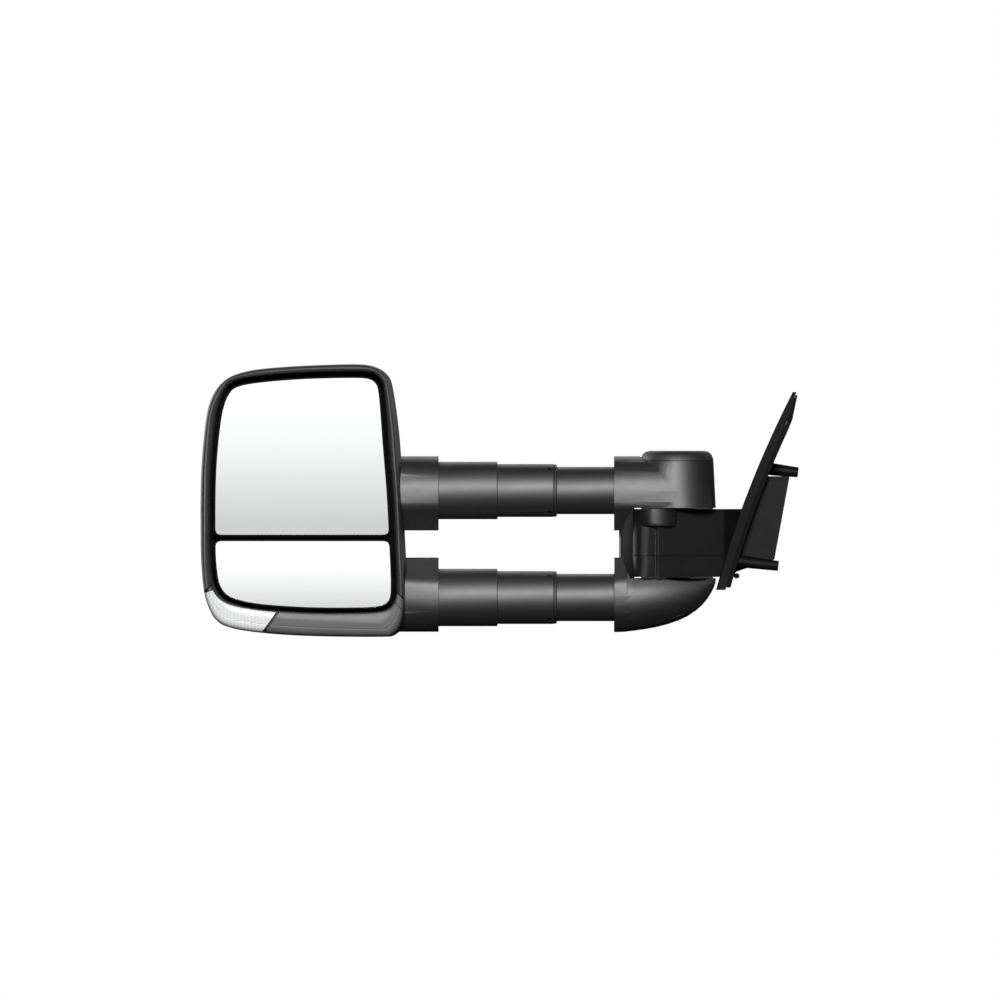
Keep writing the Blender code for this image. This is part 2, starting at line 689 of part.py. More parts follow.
def make_surround(head, outer, inner):
    chin = [nearest_station(outer, point) for point in CHIN_ENDS]
    lens = [nearest_station(outer, point) for point in LENS_ENDS]
    low, high = chin[0] - 0.1, lens[1] + 0.4
    places = sorted(set([float(i) for i in range(HEAD_STATIONS)] + [low, low + 0.05, high, high + 0.05]))
    rings = []
    for place in places:
        section = BEZEL_CHIN if low + 0.01 < place < high + 0.01 else BEZEL_RING
        rings.append(swept_section(outer, inner, place, section))
    loft("front_bezel", rings, head, PLASTIC, closed=True)
    make_trim("chin_trim", head, outer, inner, chin, (0.0, SEAM_SLANT), TRIM_SECTION, TRIM)
    make_trim("indicator_lens", head, outer, inner, lens, (SEAM_SLANT, TIP_SLANT), TRIM_SECTION,
              LENS)
    inside = [(5.6, -57.8), (-5.0, -58.6), (-5.0, -57.4), (5.6, -56.6)]
    board = [(6.4, -55.6), (-5.0, -56.2), (-5.0, -54.6), (6.4, -54.0)]
    ends = (lens[0] + 0.6, lens[1] - 0.7)
    make_trim("indicator_reflector", head, outer, inner, ends, (SEAM_SLANT, 0.0), inside, CHROME)
    make_trim("indicator_board", head, outer, inner, ends, (SEAM_SLANT, 0.0), board, BOARD)


def make_trim(name, head, outer, inner, ends, slants, section, look):
    between = range(math.ceil(ends[0] + 0.55), math.floor(ends[1] - 0.55) + 1)
    rings = [swept_section(outer, inner, ends[0], section, slants[0])]
    rings += [swept_section(outer, inner, place, section) for place in between]
    rings.append(swept_section(outer, inner, ends[1], section, slants[1]))
    return loft(name, rings, head, look)


def make_shell(head, outer):
    centre = Vector((-35, -35))
    outline = evenly(outer, 52)
    turns = [math.radians(a) for a in (0, 16, 32, 46, 58, 70, 80)]

    def dome_ring(turn, wall):
        share = math.cos(turn) ** 0.625
        depth = (SHELL_DEPTH - wall) * math.sin(turn) ** 0.625 if turn else 0.0
        ring = []
        for point in inset(outline, wall) if wall else outline:
            spot = centre + (point - centre) * share
            bulge = 3.4 * max(0.0, min(1.0, (point.x + 60) / 50)) * min(1.0, depth / 12)
            ring.append((spot.x + bulge * share, SHELL_FRONT + depth, spot.y))
        return ring

    rings = [dome_ring(turn, 0) for turn in reversed(turns)]
    rings += [dome_ring(turn, SHELL_WALL) for turn in turns]
    shell = loft("back_shell", rings, head, PLASTIC)
    for label, height, upwards in (("upper", 53.5, True), ("lower", -53.5, False)):
        hole = prism(label + "_socket_hole", socket_section(HEAD_HALF_WIDTH, height, upwards, 0.5),
                     "X", -17, 30, head)
        cut(shell, hole)


def make_frame(head):
    plate_outline = [(-165, 40), (-150, 118), (-120, 128), (-60, 128), (-30, 100), (-8, 40),
                     (-8, -40), (-30, -62), (-140, -62), (-160, -40)]
    chassis = prism("head_frame", plate_outline, "Y", 0, 5, head, CAST)
    for label, height, upwards in (("upper", 53.5, True), ("lower", -53.5, False)):
        block = prism(label + "_block", socket_section(HEAD_HALF_WIDTH, height, upwards),
                      "X", -16.7, 34.6, head)
        add(chassis, block)
        bore = solid_rod(label + "_bore", SOCKET_BORE, -30, 50, head, place=(0, 0, height),
                         turn=ALONG_X, steps=32)
        clear = box(label + "_clearance", (-20, -45, height - 50), (-7, -31.5, height + 50), head)
        cut(chassis, bore, clear)
        tube(label + "_outer_sleeve", *OUTER_SLEEVE, -4, 93.5, head, ALUMINIUM,
             place=(0, 0, height), turn=ALONG_X)
    for index, (low, high) in enumerate((((-150, 0), (-135, 30)), ((-60, 20), (-24, 34)))):
        cut(chassis, box(f"window_{index}", (low[0], -5, low[1]), (high[0], 10, high[1]), head))


def glass_outline(opening, reduce, level, above, radius, least):
    points = clip_level(inset(opening, reduce), level, above)
    return spaced(round_sharp(points, radius), least)


def make_pivot_stand(name, centre, size, head, look, front=-34.0):
    """Base of a tilting glass: a block with two ears that hold the gimbal ring's side pins."""
    x, z = centre
    wide, tall = size
    stand = box(name, (x - wide, front, z - tall), (x + wide, -0.4, z + tall), head, look)
    edge = stand.modifiers.new("Edges", "BEVEL")
    edge.width = 3 * MM
    edge.segments = 2
    for side in (-1, 1):
        near, far = sorted((x + side * 15.5, x + side * 19.5))
        ear = box(f"{name}_ear_{side}", (near, -45, z - 5), (far, front + 1, z + 5), head)
        add(stand, ear)
    pin_hole = solid_rod(name + "_pin_hole", 2.2, -25, 25, head, place=(x, GLASS_PIVOT, z),
                         turn=ALONG_X, steps=16)
    cut(stand, pin_hole)
    return stand


def make_gimbal(name, frame):
    ring = tube(name, 13.5, 9, -2, 2, frame, NYLON, turn=ALONG_Y, chamfer=0.5, steps=28)
    for label, low, high, turn in (
        ("east", 11, 19.3, ALONG_X), ("west", -19.3, -11, ALONG_X),
        ("top", 11, 19.3, (0, 0, 0)), ("bottom", -19.3, -11, (0, 0, 0)),
    ):
        add(ring, solid_rod(f"{name}_{label}_pin", 1.8, low, high, frame, turn=turn, steps=14))


def make_carrier(name, outline, frame, centre):
    """Glass carrier: a shallow tray with two ears for the gimbal ring's upright pins."""
    x, z = centre
    inner = inset(outline, 2.4)

    def level(points, y):
        return [(p.x - x, y - GLASS_PIVOT, p.y - z) for p in points]

    rings = [level(outline, CARRIER_BACK), level(outline, GLASS_FRONT + 0.6),
             level(inset(outline, 0.8), GLASS_FRONT), level(inset(outline, 1.8), GLASS_FRONT),
             level(inner, GLASS_FRONT + 0.8), level(inner, GLASS_FRONT + 2.8)]
    carrier = loft(name, rings, frame, PLASTIC)
    for side in (-1, 1):
        low, high = sorted((side * 15.5, side * 19.5))
        add(carrier, box(f"{name}_ear_{side}", (-5, CARRIER_BACK - GLASS_PIVOT - 0.5, low),
                         (5, 3, high), frame))
    cut(carrier, solid_rod(name + "_pin_hole", 2.2, -25, 25, frame, steps=16))


def make_glass(name, outline, frame, centre, bulge):
    """Mirror glass. A bulge above zero makes the convex one, as rings drawn in to the middle."""
    x, z = centre
    middle = sum(outline, Vector((0, 0))) / len(outline)

    def level(share, y):
        spots = [middle.lerp(p, share) for p in outline]
        return [(p.x - x, y - GLASS_PIVOT, p.y - z) for p in spots]

    back, face = GLASS_FRONT + 2.5, GLASS_FRONT + 0.3
    shares = (1.0, 0.75, 0.5, 0.25) if bulge else (1.0,)
    rings = [level(1.0, back)] + [level(s, face - bulge * (1 - s * s)) for s in shares]
    loft(name, rings, frame, MIRROR)


def make_plunger(name, centre, frame):
    x, z = centre
    ball = [(0, -8.0), (1.6, -7.7), (2.9, -6.8), (3.8, -5.4), (4, -4), (3.4, -2), (2.6, -1),
            (2.6, 18), (0, 18)]
    lathe(name, ball, frame, NYLON, place=(x, 0, z), turn=ALONG_Y, steps=20)


def make_head(head, frames):
    outer, inner = head_outlines()
    make_surround(head, outer, inner)
    make_shell(head, outer)
    make_frame(head)
    actuator = make_pivot_stand("actuator_housing", UPPER_GLASS, (40, 40), head, PLASTIC)
    for label, spot in (("tilt", (0, ACTUATOR_ARM)), ("pan", (ACTUATOR_ARM, 0))):
        cut(actuator, solid_rod(label + "_well", 3.4, 4, 34, frames["upper_base"],
                                place=(spot[0], 0, spot[1]), turn=ALONG_Y, steps=16))
        make_plunger(label + "_plunger", spot, frames[label])
    make_pivot_stand("lower_pivot_base", LOWER_GLASS, (30, 22), head, PLASTIC)
    for label, centre, cut_level, above, bulge in (
        ("upper", UPPER_GLASS, UPPER_CUT, True, 0.0), ("lower", LOWER_GLASS, LOWER_CUT, False, 2.6),
    ):
        make_gimbal(label + "_gimbal_ring", frames[label + "_gimbal"])
        opening = evenly(inner, 44)
        rim = glass_outline(opening, 3.2, cut_level, above, 8, 2.0)
        make_carrier(label + "_glass_carrier", rim, frames[label + "_glass"], centre)
        make_glass(label + "_glass", inset(rim, 2.8), frames[label + "_glass"], centre, bulge)


def main():
    base = frame_empty("base_frame", (0, 0, 0))
    pivot_base = frame_empty("pivot_base_frame", PIVOT, base)
    hub = frame_empty("hub_frame", PIVOT)
    head = frame_empty("head_slide_frame", HEAD)
    frames = {}
    for label, centre in (("upper", UPPER_GLASS), ("lower", LOWER_GLASS)):
        place = (centre[0], GLASS_PIVOT, centre[1])
        for kind in ("base", "gimbal", "glass"):
            frames[f"{label}_{kind}"] = frame_empty(f"{label}_{kind}_frame", place, head)
    for label in ("tilt", "pan"):
        place = (UPPER_GLASS[0], GLASS_PIVOT, UPPER_GLASS[1])
        frames[label] = frame_empty(label + "_plunger_frame", place, head)
    make_base(base, pivot_base)
    make_pivot(pivot_base)
    make_hub(hub)
    for label, height in (("upper", UPPER_AXIS_Z), ("lower", LOWER_AXIS_Z)):
        make_middle_sleeve(label, height, frame_empty(label + "_sleeve_frame", PIVOT))
    make_head(head, frames)


clear_scene()
PARTS = new_collection("towing_mirror")
HELPERS = new_collection("cutters", helper=True)
CAST = material("cast_black", (0.03, 0.03, 0.032), 0.45)
PLASTIC = material("black_plastic", (0.02, 0.02, 0.022), 0.4)
ALUMINIUM = material("black_anodised_tube", (0.03, 0.03, 0.032), 0.35, 0.6)
RUBBER = material("rubber", (0.025, 0.025, 0.025), 0.8)
STEEL = material("zinc_steel", (0.55, 0.55, 0.54), 0.35, 1.0)
NYLON = material("nylon", (0.7, 0.7, 0.66), 0.5)
TRIM = material("grey_trim", (0.28, 0.28, 0.29), 0.35)
LENS = material("clear_lens", (0.93, 0.94, 0.95), 0.08, alpha=0.6)
CHROME = material("reflector_chrome", (0.85, 0.85, 0.86), 0.1, 1.0)
BOARD = material("circuit_board", (0.02, 0.12, 0.05), 0.5)
MIRROR = material("mirror_glass", (0.9, 0.91, 0.92), 0.03, 1.0)
main()
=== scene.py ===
"""Looks of the towing mirror: fine head surfaces, procedural materials, soft frontal studio light.

Frame: metres, +X to the vehicle, +Y to the front, +Z up. The mirror glass faces -Y. Shapes are
worked out in millimetres and turned into metres by MM.
"""

import math

import bmesh
import bpy
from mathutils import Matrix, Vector


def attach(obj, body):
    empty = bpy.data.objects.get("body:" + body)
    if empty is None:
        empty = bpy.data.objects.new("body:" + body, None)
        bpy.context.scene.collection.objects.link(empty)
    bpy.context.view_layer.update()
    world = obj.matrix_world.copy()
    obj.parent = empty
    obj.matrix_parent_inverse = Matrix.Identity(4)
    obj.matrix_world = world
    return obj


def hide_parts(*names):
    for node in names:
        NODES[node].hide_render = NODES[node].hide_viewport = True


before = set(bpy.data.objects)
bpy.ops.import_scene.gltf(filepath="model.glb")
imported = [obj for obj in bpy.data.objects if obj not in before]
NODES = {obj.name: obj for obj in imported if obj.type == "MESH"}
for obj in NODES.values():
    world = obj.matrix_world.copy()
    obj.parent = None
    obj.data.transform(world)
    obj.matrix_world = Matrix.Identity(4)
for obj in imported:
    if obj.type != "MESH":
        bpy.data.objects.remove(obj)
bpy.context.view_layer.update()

MM = 0.001

# Origins that the pieces are measured from, and the tubes' heights from the fold pivot.
DOOR = Vector((0.0, 0.0, 0.0))
HEAD = Vector((-378.0, -62.0, -26.0))
PIVOT = Vector((-105.0, -62.0, 0.0))
UPPER_AXIS_Z = 27.5
LOWER_AXIS_Z = -79.5

# Coarse stations round the surround, and the fine points in each of them.
STATIONS = 72
FINE = 4

# Outlines of the head and of the glass opening in X and Z from HEAD, clockwise from the outboard
# edge as seen facing the glass.
HEAD_OUTLINE = [
    (-203.4, 10), (-203.4, 50), (-202, 86), (-197.5, 128), (-190.5, 150), (-178, 164.5),
    (-160, 172), (-136, 175.8), (-94, 178.6), (-48, 179.8), (-31, 177.5), (-20, 170),
    (-14.5, 158), (-8, 110), (-5, 64), (-2, 0), (-0.2, -35), (-0.4, -62), (-3.5, -80),
    (-12, -91), (-28, -92.9), (-100, -91.8), (-150, -88), (-178, -82.3), (-190, -73.5),
    (-197, -59), (-200.5, -44), (-202.8, -18),
]
OPENING_OUTLINE = [
    (-193.8, 0), (-193.5, 62), (-190.5, 106), (-185.5, 138), (-177.5, 155.5), (-167, 162.5),
    (-143, 166.8), (-100, 170.2), (-55, 171.3), (-34, 170.2), (-24, 163.5), (-20, 150),
    (-16, 100), (-12, 50), (-9.2, -4), (-7.9, -40), (-9.5, -56.5), (-17, -65), (-32, -68),
    (-64, -68.8), (-100, -68.2), (-140, -65.5), (-164, -61.5), (-180, -55), (-188.5, -44),
    (-192, -29),
]

# Sections of the surround: depth in from the outer outline, or from the opening where negative,
# and Y.
BEZEL_RING = [(0, -40), (0, -56), (0.25, -59), (0.8, -61), (1.9, -63), (3.5, -64), (4.9, -63.8),
              (6.0, -62.8), (-1.6, -57), (-0.01, -51), (-0.01, -48), (-2.2, -48), (5.2, -59),
              (3.4, -60.4), (2.6, -56), (2.6, -40)]
BEZEL_CHIN = [(0, -40), (0, -44), (0, -45.0), (0, -45.8), (3.0, -45.9), (3.0, -51.5),
              (3.8, -52.2), (4.5, -52.5), (-5, -52.5), (-0.3, -48.8), (-0.01, -48), (-2.2, -48),
              (8, -50.3), (6, -50), (5.4, -47), (2.6, -40)]
TRIM_SECTION = [(0, -46.2), (0, -53), (0.4, -56), (1.2, -58.6), (2.4, -60.6), (4, -61.9),
                (6, -62.7), (7.8, -63.05), (8.6, -63.0), (8.85, -62.5), (9.1, -63.1),
                (15, -63.9), (16.5, -64), (-2.6, -63.5), (-1.8, -63.1), (-1.4, -61.4),
                (-1.4, -53), (-3.8, -53), (-4.2, -60.6), (9.2, -61.2), (5.5, -60.0), (3.0, -57),
                (2.3, -46.2)]

# Where the chin trim and the lens start and end on the outer outline. Slants are in stations.
CHIN_ENDS = ((-1, -56), (-134, -90))
LENS_ENDS = ((-138, -90), (-200.0, -52.5))
CHIN_CORNER = 0.92
SEAM_SLANT = -0.9
TIP_SLANT = -0.5
TIP_NARROWING = 2.2
NARROWED_SHARE = 0.625
TRIM_INSIDE = 3.2

# The surround drops under the trims: how far it stays low beyond them, and the run of the drop,
# all in stations. A nudge tells a section just past an edge from one on it.
CHIN_MARGIN = 0.1
LENS_MARGIN = 0.4
DROP_RUN = 0.05
NUDGE = 0.01

# Back shell: domed by a power of its turn, with a flank drawn out towards the sockets.
SHELL_FRONT = -39.7
SHELL_DEPTH = 83.0
SHELL_WALL = 2.5
SHELL_CENTRE = (-35, -35)
SHELL_ROUNDNESS = 0.625
SHELL_TURNS = (0, 3, 6, 10, 14, 18, 23, 28, 33, 38, 43, 48, 53, 58, 63, 68, 72, 76, 80)
FLANK_BULGE = 3.4
FLANK_START = -60
FLANK_LENGTH = 50
FLANK_DEPTH = 12

# Sockets of the head frame, and the holes in the shell that clear them.
SOCKET_HALF_WIDTH = 36.0
SOCKET_RISE = 34.3
SOCKET_FACE = 11.5
SOCKET_DROP = 40.0
SOCKET_OFFSET = 53.5
SOCKET_REACH = (-17, 30)
SOCKET_CLEARANCE = 0.5

# The two glasses and their trays. The cuts are the edges either side of the bar between them.
GLASS_FRONT = -56.0
CARRIER_BACK = -50.5
UPPER_CUT = 7.2
LOWER_CUT = 4.8
OPENING_CENTRE = (-102, 44)
TRAY_GAP = 3.2
TRAY_CORNER = 8
TRAY_RIM = 1.9
TILT_PER_BULGE = 0.02
SINK_PER_BULGE = 0.45
BULGE_RINGS = 16
LOWER_BULGE = 2.0

# Ledge behind the glasses: its width is a share of the way to the middle of the head.
BULKHEAD_INSET = 4.5
BULKHEAD_SHARE = 0.22
BULKHEAD_Y = (-29.5, -28.7)

# The arm of the bracket in plan, from PIVOT.
ARM_SWEEP = 40
ARM_REAR = (-19, -42)
ARM_DEPTH = 30
ARM_REAR_LENGTH = 84
ARM_FRONT_LENGTH = 74
BARREL_CENTRE = (-31.5, -29)
BARREL_RADIUS = 12.5

# Dark rings of painted shade in the gaps round the fold pivot and the tubes, from PIVOT: radii,
# then the span along the axis.
CAP_GAP_SHADE = ((30, 36.0), (56.6, 57.6))
UPPER_PIVOT_GAP_SHADE = ((24, 36.0), (9.02, 9.96))
LOWER_PIVOT_GAP_SHADE = ((24, 36.0), (-59.96, -59.02))
SLEEVE_GAP_SHADE = ((24.1, 25.9), (-123.1, -122.6))
ARM_GAP_SHADE_INSET = 1.2
ARM_GAP_SHADE_Z = (-38.4, -37.3)

# The triangular sail, from DOOR. Its outboard face leans inboard on a slight curve.
SAIL_CURVE = (-66, 0.2644, 0.000622)
SAIL_FOOT = -72
SAIL_TIP = 126
SAIL_THINS_FROM = 96
SAIL_REAR = -60
SAIL_REAR_LEAN = 14
SAIL_FRONT = 98
SAIL_FRONT_LEAN = 138
SAIL_CHAMFER = 10
SAIL_NOSE_Z = -48
# Dark strip of painted shade in the gap between the sail's cover and its gasket: its inset from
# the sail's edge, its width and its X out from the face. Then a block of it in the joint of the
# arm's lower cover.
RIM_SHADE_EDGE = 0.8
RIM_SHADE_WIDTH = 1.4
RIM_SHADE_X = (9.2, 10.1)
COVER_END_X = (-4.6, 0.1)
COVER_END_Y = (-44, 10)
COVER_END_Z = (-58.6, -36.9)

# The boss on the door, from DOOR, and the heights that its fillets reach.
BOSS_TILT = 10.4
BOSS_Y = (-38, 22)
BOSS_TOP = 38
BOSS_ROOT = 5
TOP_FILLET = 41.8
FOOT_FILLET = 41.5

# Brightness of the world on the parts, and how much of its white is seen in the glass.
WORLD_DIM = 0.02
GLASS_SKY = 0.62

# Height on the glowing card in metres and its brightness there. The lower pane looks down at the
# first half of it, the flat upper pane looks straight at the second.
CARD_PEAK = 1.12
CARD_STEPS = [(-0.62, 0.62), (-0.48, 0.88), (-0.36, 1.08), (-0.14, 1.08), (-0.05, 0.70),
              (-0.008, 0.645), (0.074, 0.97), (0.106, 1.045), (0.15, CARD_PEAK)]
CARD_X = (-1.1, 0.15)
CARD_Y = -4.4
CARD_Z = (-0.8, 0.5)
FLOOR_SPAN = (-6, 6)
FLOOR_Z = -2.8

# Each light: its place, the two sides of its panel in metres and its power in watts.
STUDIO_MIDDLE = (-0.28, -0.05, 0.0)
LIGHTS = {
    "key": ((-0.28, -3.4, 0.97), (1.0, 0.55), 195),
    "back_fill": ((-0.28, 3.4, 2.4), (2.4, 1.4), 40),
    "right_fill": ((2.8, 2.2, 1.0), (1.6, 1.6), 25),
    "left_fill": ((-3.2, 2.2, 0.8), (1.6, 1.6), 90),
}
CAMERA_PLACE = (-0.282, -3.0, 0.018)
VIEW_WIDTH = 1.0

# Sockets of a Mix node, which its colours and its numbers share by name.
MIX_COLOURS = (6, 7)
MIX_COLOUR_OUT = 2
MIX_NUMBERS = (2, 3)

# Millimetres over which the painted sheen, the light and shade stepped into a coat, changes at a
# step.
STEP_RUN = 4


# ---------------------------------------------------------------- outlines

def smooth_closed(points, per_span=12):
    """Closed Catmull-Rom curve through the points."""
    count = len(points)
    found = []
    for index in range(count):
        p0, p1, p2, p3 = (Vector(points[(index + k) % count]) for k in (-1, 0, 1, 2))
        for step in range(per_span):
            t = step / per_span
            found.append(0.5 * (2 * p1 + (p2 - p0) * t + (2 * p0 - 5 * p1 + 4 * p2 - p3) * t * t
                                + (3 * p1 - p0 - 3 * p2 + p3) * t ** 3))
    return found


def evenly(points, count):
    """Resample a closed polyline to count points at equal spacing."""
    ring = list(points) + [points[0]]
    lengths = [0.0]
    for a, b in zip(ring, ring[1:]):
        lengths.append(lengths[-1] + (b - a).length)
    found = []
    spot = 0
    for index in range(count):
        goal = lengths[-1] * index / count
        while lengths[spot + 1] < goal:
            spot += 1
        share = (goal - lengths[spot]) / (lengths[spot + 1] - lengths[spot])
        found.append(ring[spot].lerp(ring[spot + 1], share))
    return found


def inset(points, distance):
    """Move each point of a clockwise outline inwards along its normal."""
    count = len(points)
    moved = []
    for index, point in enumerate(points):
        along = (points[(index + 1) % count] - points[index - 1]).normalized()
        moved.append(point + Vector((along.y, -along.x)) * distance)
    return moved


def clip_level(points, level, keep_above):
    """Cut a closed outline with a horizontal line and keep one side."""
    found = []
    for a, b in zip(points, points[1:] + points[:1]):
        inside_a = (a.y >= level) == keep_above
        inside_b = (b.y >= level) == keep_above
        if inside_a:
            found.append(a)
        if inside_a != inside_b:
            found.append(a.lerp(b, (level - a.y) / (b.y - a.y)))
    return found


def round_sharp(points, radius, chords=10):
    """Replace each corner sharper than 35 degrees with a short curve."""
    count = len(points)
    sharp = []
    for index, point in enumerate(points):
        before, after = points[index - 1] - point, points[(index + 1) % count] - point
        if math.degrees(before.angle(-after)) >= 35:
            sharp.append(index)
    found = []
    for index, point in enumerate(points):
        if index in sharp:
            start = point + (points[index - 1] - point).normalized() * radius
            end = point + (points[(index + 1) % count] - point).normalized() * radius
            for step in range(chords + 1):
                t = step / chords
                found.append(start * (1 - t) ** 2 + point * 2 * t * (1 - t) + end * t * t)
        elif all((points[corner] - point).length > radius * 1.02 for corner in sharp):
            found.append(point)
    return found


def spaced(points, least):
    """Drop points closer to the one before than least."""
    found = [points[0]]
    for point in points[1:]:
        if (point - found[-1]).length >= least:
            found.append(point)
    while (found[-1] - found[0]).length < least:
        found.pop()
    return found


def ray_hit(centre, through, outline):
    """Where the ray from centre through a point crosses a closed outline."""
    ray = through - centre
    for a, b in zip(outline, outline[1:] + outline[:1]):
        edge = b - a
        cross = ray.x * edge.y - ray.y * edge.x
        if abs(cross) < 1e-9:
            continue
        gap = a - centre
        along_ray = (gap.x * edge.y - gap.y * edge.x) / cross
        along_edge = (gap.x * ray.y - gap.y * ray.x) / cross
        if along_ray > 0 and 0 <= along_edge <= 1:
            return centre + ray * along_ray
    raise ValueError("the opening does not surround its centre")


def station(outline, place):
    """Point of a fine outline at a fractional station of the coarse one."""
    low = math.floor(place * FINE)
    count = len(outline)
    return outline[low % count].lerp(outline[(low + 1) % count], place * FINE - low)


def nearest_station(outline, point):
    """Fractional station that lies nearest to a point."""
    spots = [i / 20 for i in range(20 * STATIONS)]
    return min(spots, key=lambda spot: (station(outline, spot) - Vector(point)).length)


def swept_section(outer, inner, place, section, slant=0.0, narrow=0.0):
    """Section across the surround at a place, squeezed where the surround is thin."""
    span = (station(inner, place) - station(outer, place)).length
    deepest = max(depth for depth, _ in section)
    squeeze = min(1.0, (span - TRIM_INSIDE - narrow) / deepest)
    ring = []
    for depth, y in section:
        along = depth * squeeze if depth >= 0 else span + depth - narrow
        spot = place + slant * (along / span - 0.5)
        start = station(outer, spot)
        way = station(inner, spot) - start
        if depth < 0:
            along = way.length + depth - narrow
        point = start + way.normalized() * along
        ring.append((point.x, y, point.y))
    return ring


def socket_section(centre_z, upwards, grow):
    """Socket outline in Y and Z: round on the outside, sloped faces on the side of the gap."""
    wide, rise = SOCKET_HALF_WIDTH + grow, SOCKET_RISE + grow
    points = [(wide * math.cos(t), rise * math.sin(t))
              for t in (math.pi * i / 48 for i in range(49))]
    lower = [(-wide, -SOCKET_FACE), (-wide + 1.6, -16.5), (-wide + 4.8, -20.5 - grow),
             (-15, -SOCKET_DROP - grow)]
    points += lower + [(-y, z) for y, z in reversed(lower)]
    sign = 1 if upwards else -1
    return [(y, centre_z + sign * z) for y, z in points]


# ---------------------------------------------------------------- pieces

def piece(name, bm, look, body, stands_for=(), origin=HEAD, angle=30):
    """Object from a bmesh in millimetres from origin, riding on its body."""
    bmesh.ops.recalc_face_normals(bm, faces=bm.faces)
    if bm.calc_volume(signed=True) < 0:
        bmesh.ops.reverse_faces(bm, faces=bm.faces)
    for vert in bm.verts:
        vert.co = (vert.co + origin) * MM
    mesh = bpy.data.meshes.new(name)
    bm.to_mesh(mesh)
    bm.free()
    mesh.shade_smooth()
    mesh.set_sharp_from_angle(angle=math.radians(angle))
    mesh.materials.append(look)
    obj = bpy.data.objects.new(name, mesh)
    bpy.context.scene.collection.objects.link(obj)
    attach(obj, body)
    if stands_for:
        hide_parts(*stands_for)
    return obj


def skin(bm, rings, closed=False):
    """Add a skin over rings of equal length, capped at both ends unless closed."""
    rows = [[bm.verts.new(point) for point in ring] for ring in rings]
    pairs = list(zip(rows, rows[1:]))
    if closed:
        pairs.append((rows[-1], rows[0]))
    else:
        bm.faces.new(rows[0])
        bm.faces.new(rows[-1])
    for first, second in pairs:
        for index in range(len(first)):
            after = (index + 1) % len(first)
            bm.faces.new((first[index], first[after], second[after], second[index]))


def soften(obj, width, segments=2, angle=35):
    """Round the edges sharper than angle."""
    edge = obj.modifiers.new("Soften", "BEVEL")
    edge.width = width * MM
    edge.segments = segments
    edge.limit_method = "ANGLE"
    edge.angle_limit = math.radians(angle)
    edge.harden_normals = True


def make_surround(outer, inner, looks):
    """Black surround, with a grey chin trim and a clear lens set into its lower edge."""
    chin = [nearest_station(outer, point) for point in CHIN_ENDS]
    lens = [nearest_station(outer, point) for point in LENS_ENDS]
    low, high = chin[0] - CHIN_MARGIN, lens[1] + LENS_MARGIN
    places = {index / FINE for index in range(STATIONS * FINE)}
    places |= {low, low + DROP_RUN, high, high + DROP_RUN}
    rings = []
    for place in sorted(places):
        under_trim = low + NUDGE < place < high + NUDGE
        rings.append(swept_section(outer, inner, place, BEZEL_CHIN if under_trim else BEZEL_RING))
    bm = bmesh.new()
    skin(bm, rings, closed=True)
    piece("bezel_ring", bm, looks["bezel"], "head", ["front_bezel"])

    bm = bmesh.new()
    seam = chin[0] + CHIN_CORNER
    add_trim(bm, outer, inner, (chin[0], seam), (0.0, 0.0))
    add_trim(bm, outer, inner, (seam + DROP_RUN, chin[1]), (0.0, SEAM_SLANT))
    soften(piece("chin_band", bm, looks["trim"], "head", ["chin_trim"]), 0.3)

    bm = bmesh.new()
    add_trim(bm, outer, inner, lens, (SEAM_SLANT, TIP_SLANT), TIP_NARROWING)
    soften(piece("indicator_cover", bm, looks["lens"], "head", ["indicator_lens"]), 0.4)


def add_trim(bm, outer, inner, ends, slants, narrowing=0.0):
    """Trim strip between two stations, its inner edge drawn in towards the second."""
    def narrow(place):
        left = (ends[1] - place) / (ends[1] - ends[0])
        return narrowing * max(0.0, min(1.0, 1.0 - left / NARROWED_SHARE))

    # Whole sections start and stop clear of the slanted ends.
    first = math.ceil((ends[0] + abs(slants[0]) * 0.6) * FINE + 0.2)
    last = math.floor((ends[1] - abs(slants[1]) * 0.6) * FINE - 0.2)
    rings = [swept_section(outer, inner, ends[0], TRIM_SECTION, slants[0])]
    rings += [swept_section(outer, inner, place / FINE, TRIM_SECTION, 0.0, narrow(place / FINE))
              for place in range(first, last + 1)]
    rings.append(swept_section(outer, inner, ends[1], TRIM_SECTION, slants[1], narrowing))
    skin(bm, rings)


def make_shell(outer, looks):
    """Domed back shell with a hole for each socket."""
    centre = Vector(SHELL_CENTRE)
    outline = evenly(outer, 208)
    turns = [math.radians(degrees) for degrees in SHELL_TURNS]

    def dome_ring(turn, wall):
        share = math.cos(turn) ** SHELL_ROUNDNESS
        depth = (SHELL_DEPTH - wall) * math.sin(turn) ** SHELL_ROUNDNESS if turn else 0.0
        ring = []
        for point in inset(outline, wall) if wall else outline:
            spot = centre + (point - centre) * share
            near = max(0.0, min(1.0, (point.x - FLANK_START) / FLANK_LENGTH))
            bulge = FLANK_BULGE * near * min(1.0, depth / FLANK_DEPTH)
            ring.append((spot.x + bulge * share, SHELL_FRONT + depth, spot.y))
        return ring

    bm = bmesh.new()
    skin(bm, [dome_ring(turn, 0) for turn in reversed(turns)]
         + [dome_ring(turn, SHELL_WALL) for turn in turns])
    shell = piece("shell_dome", bm, looks["shell"], "head", ["back_shell"])
    for label, height in (("upper", SOCKET_OFFSET), ("lower", -SOCKET_OFFSET)):
        bm = bmesh.new()
        section = socket_section(height, height > 0, SOCKET_CLEARANCE)
        skin(bm, [[(x, y, z) for y, z in section] for x in SOCKET_REACH])
        cut(shell, bm, label + "_shell_hole")


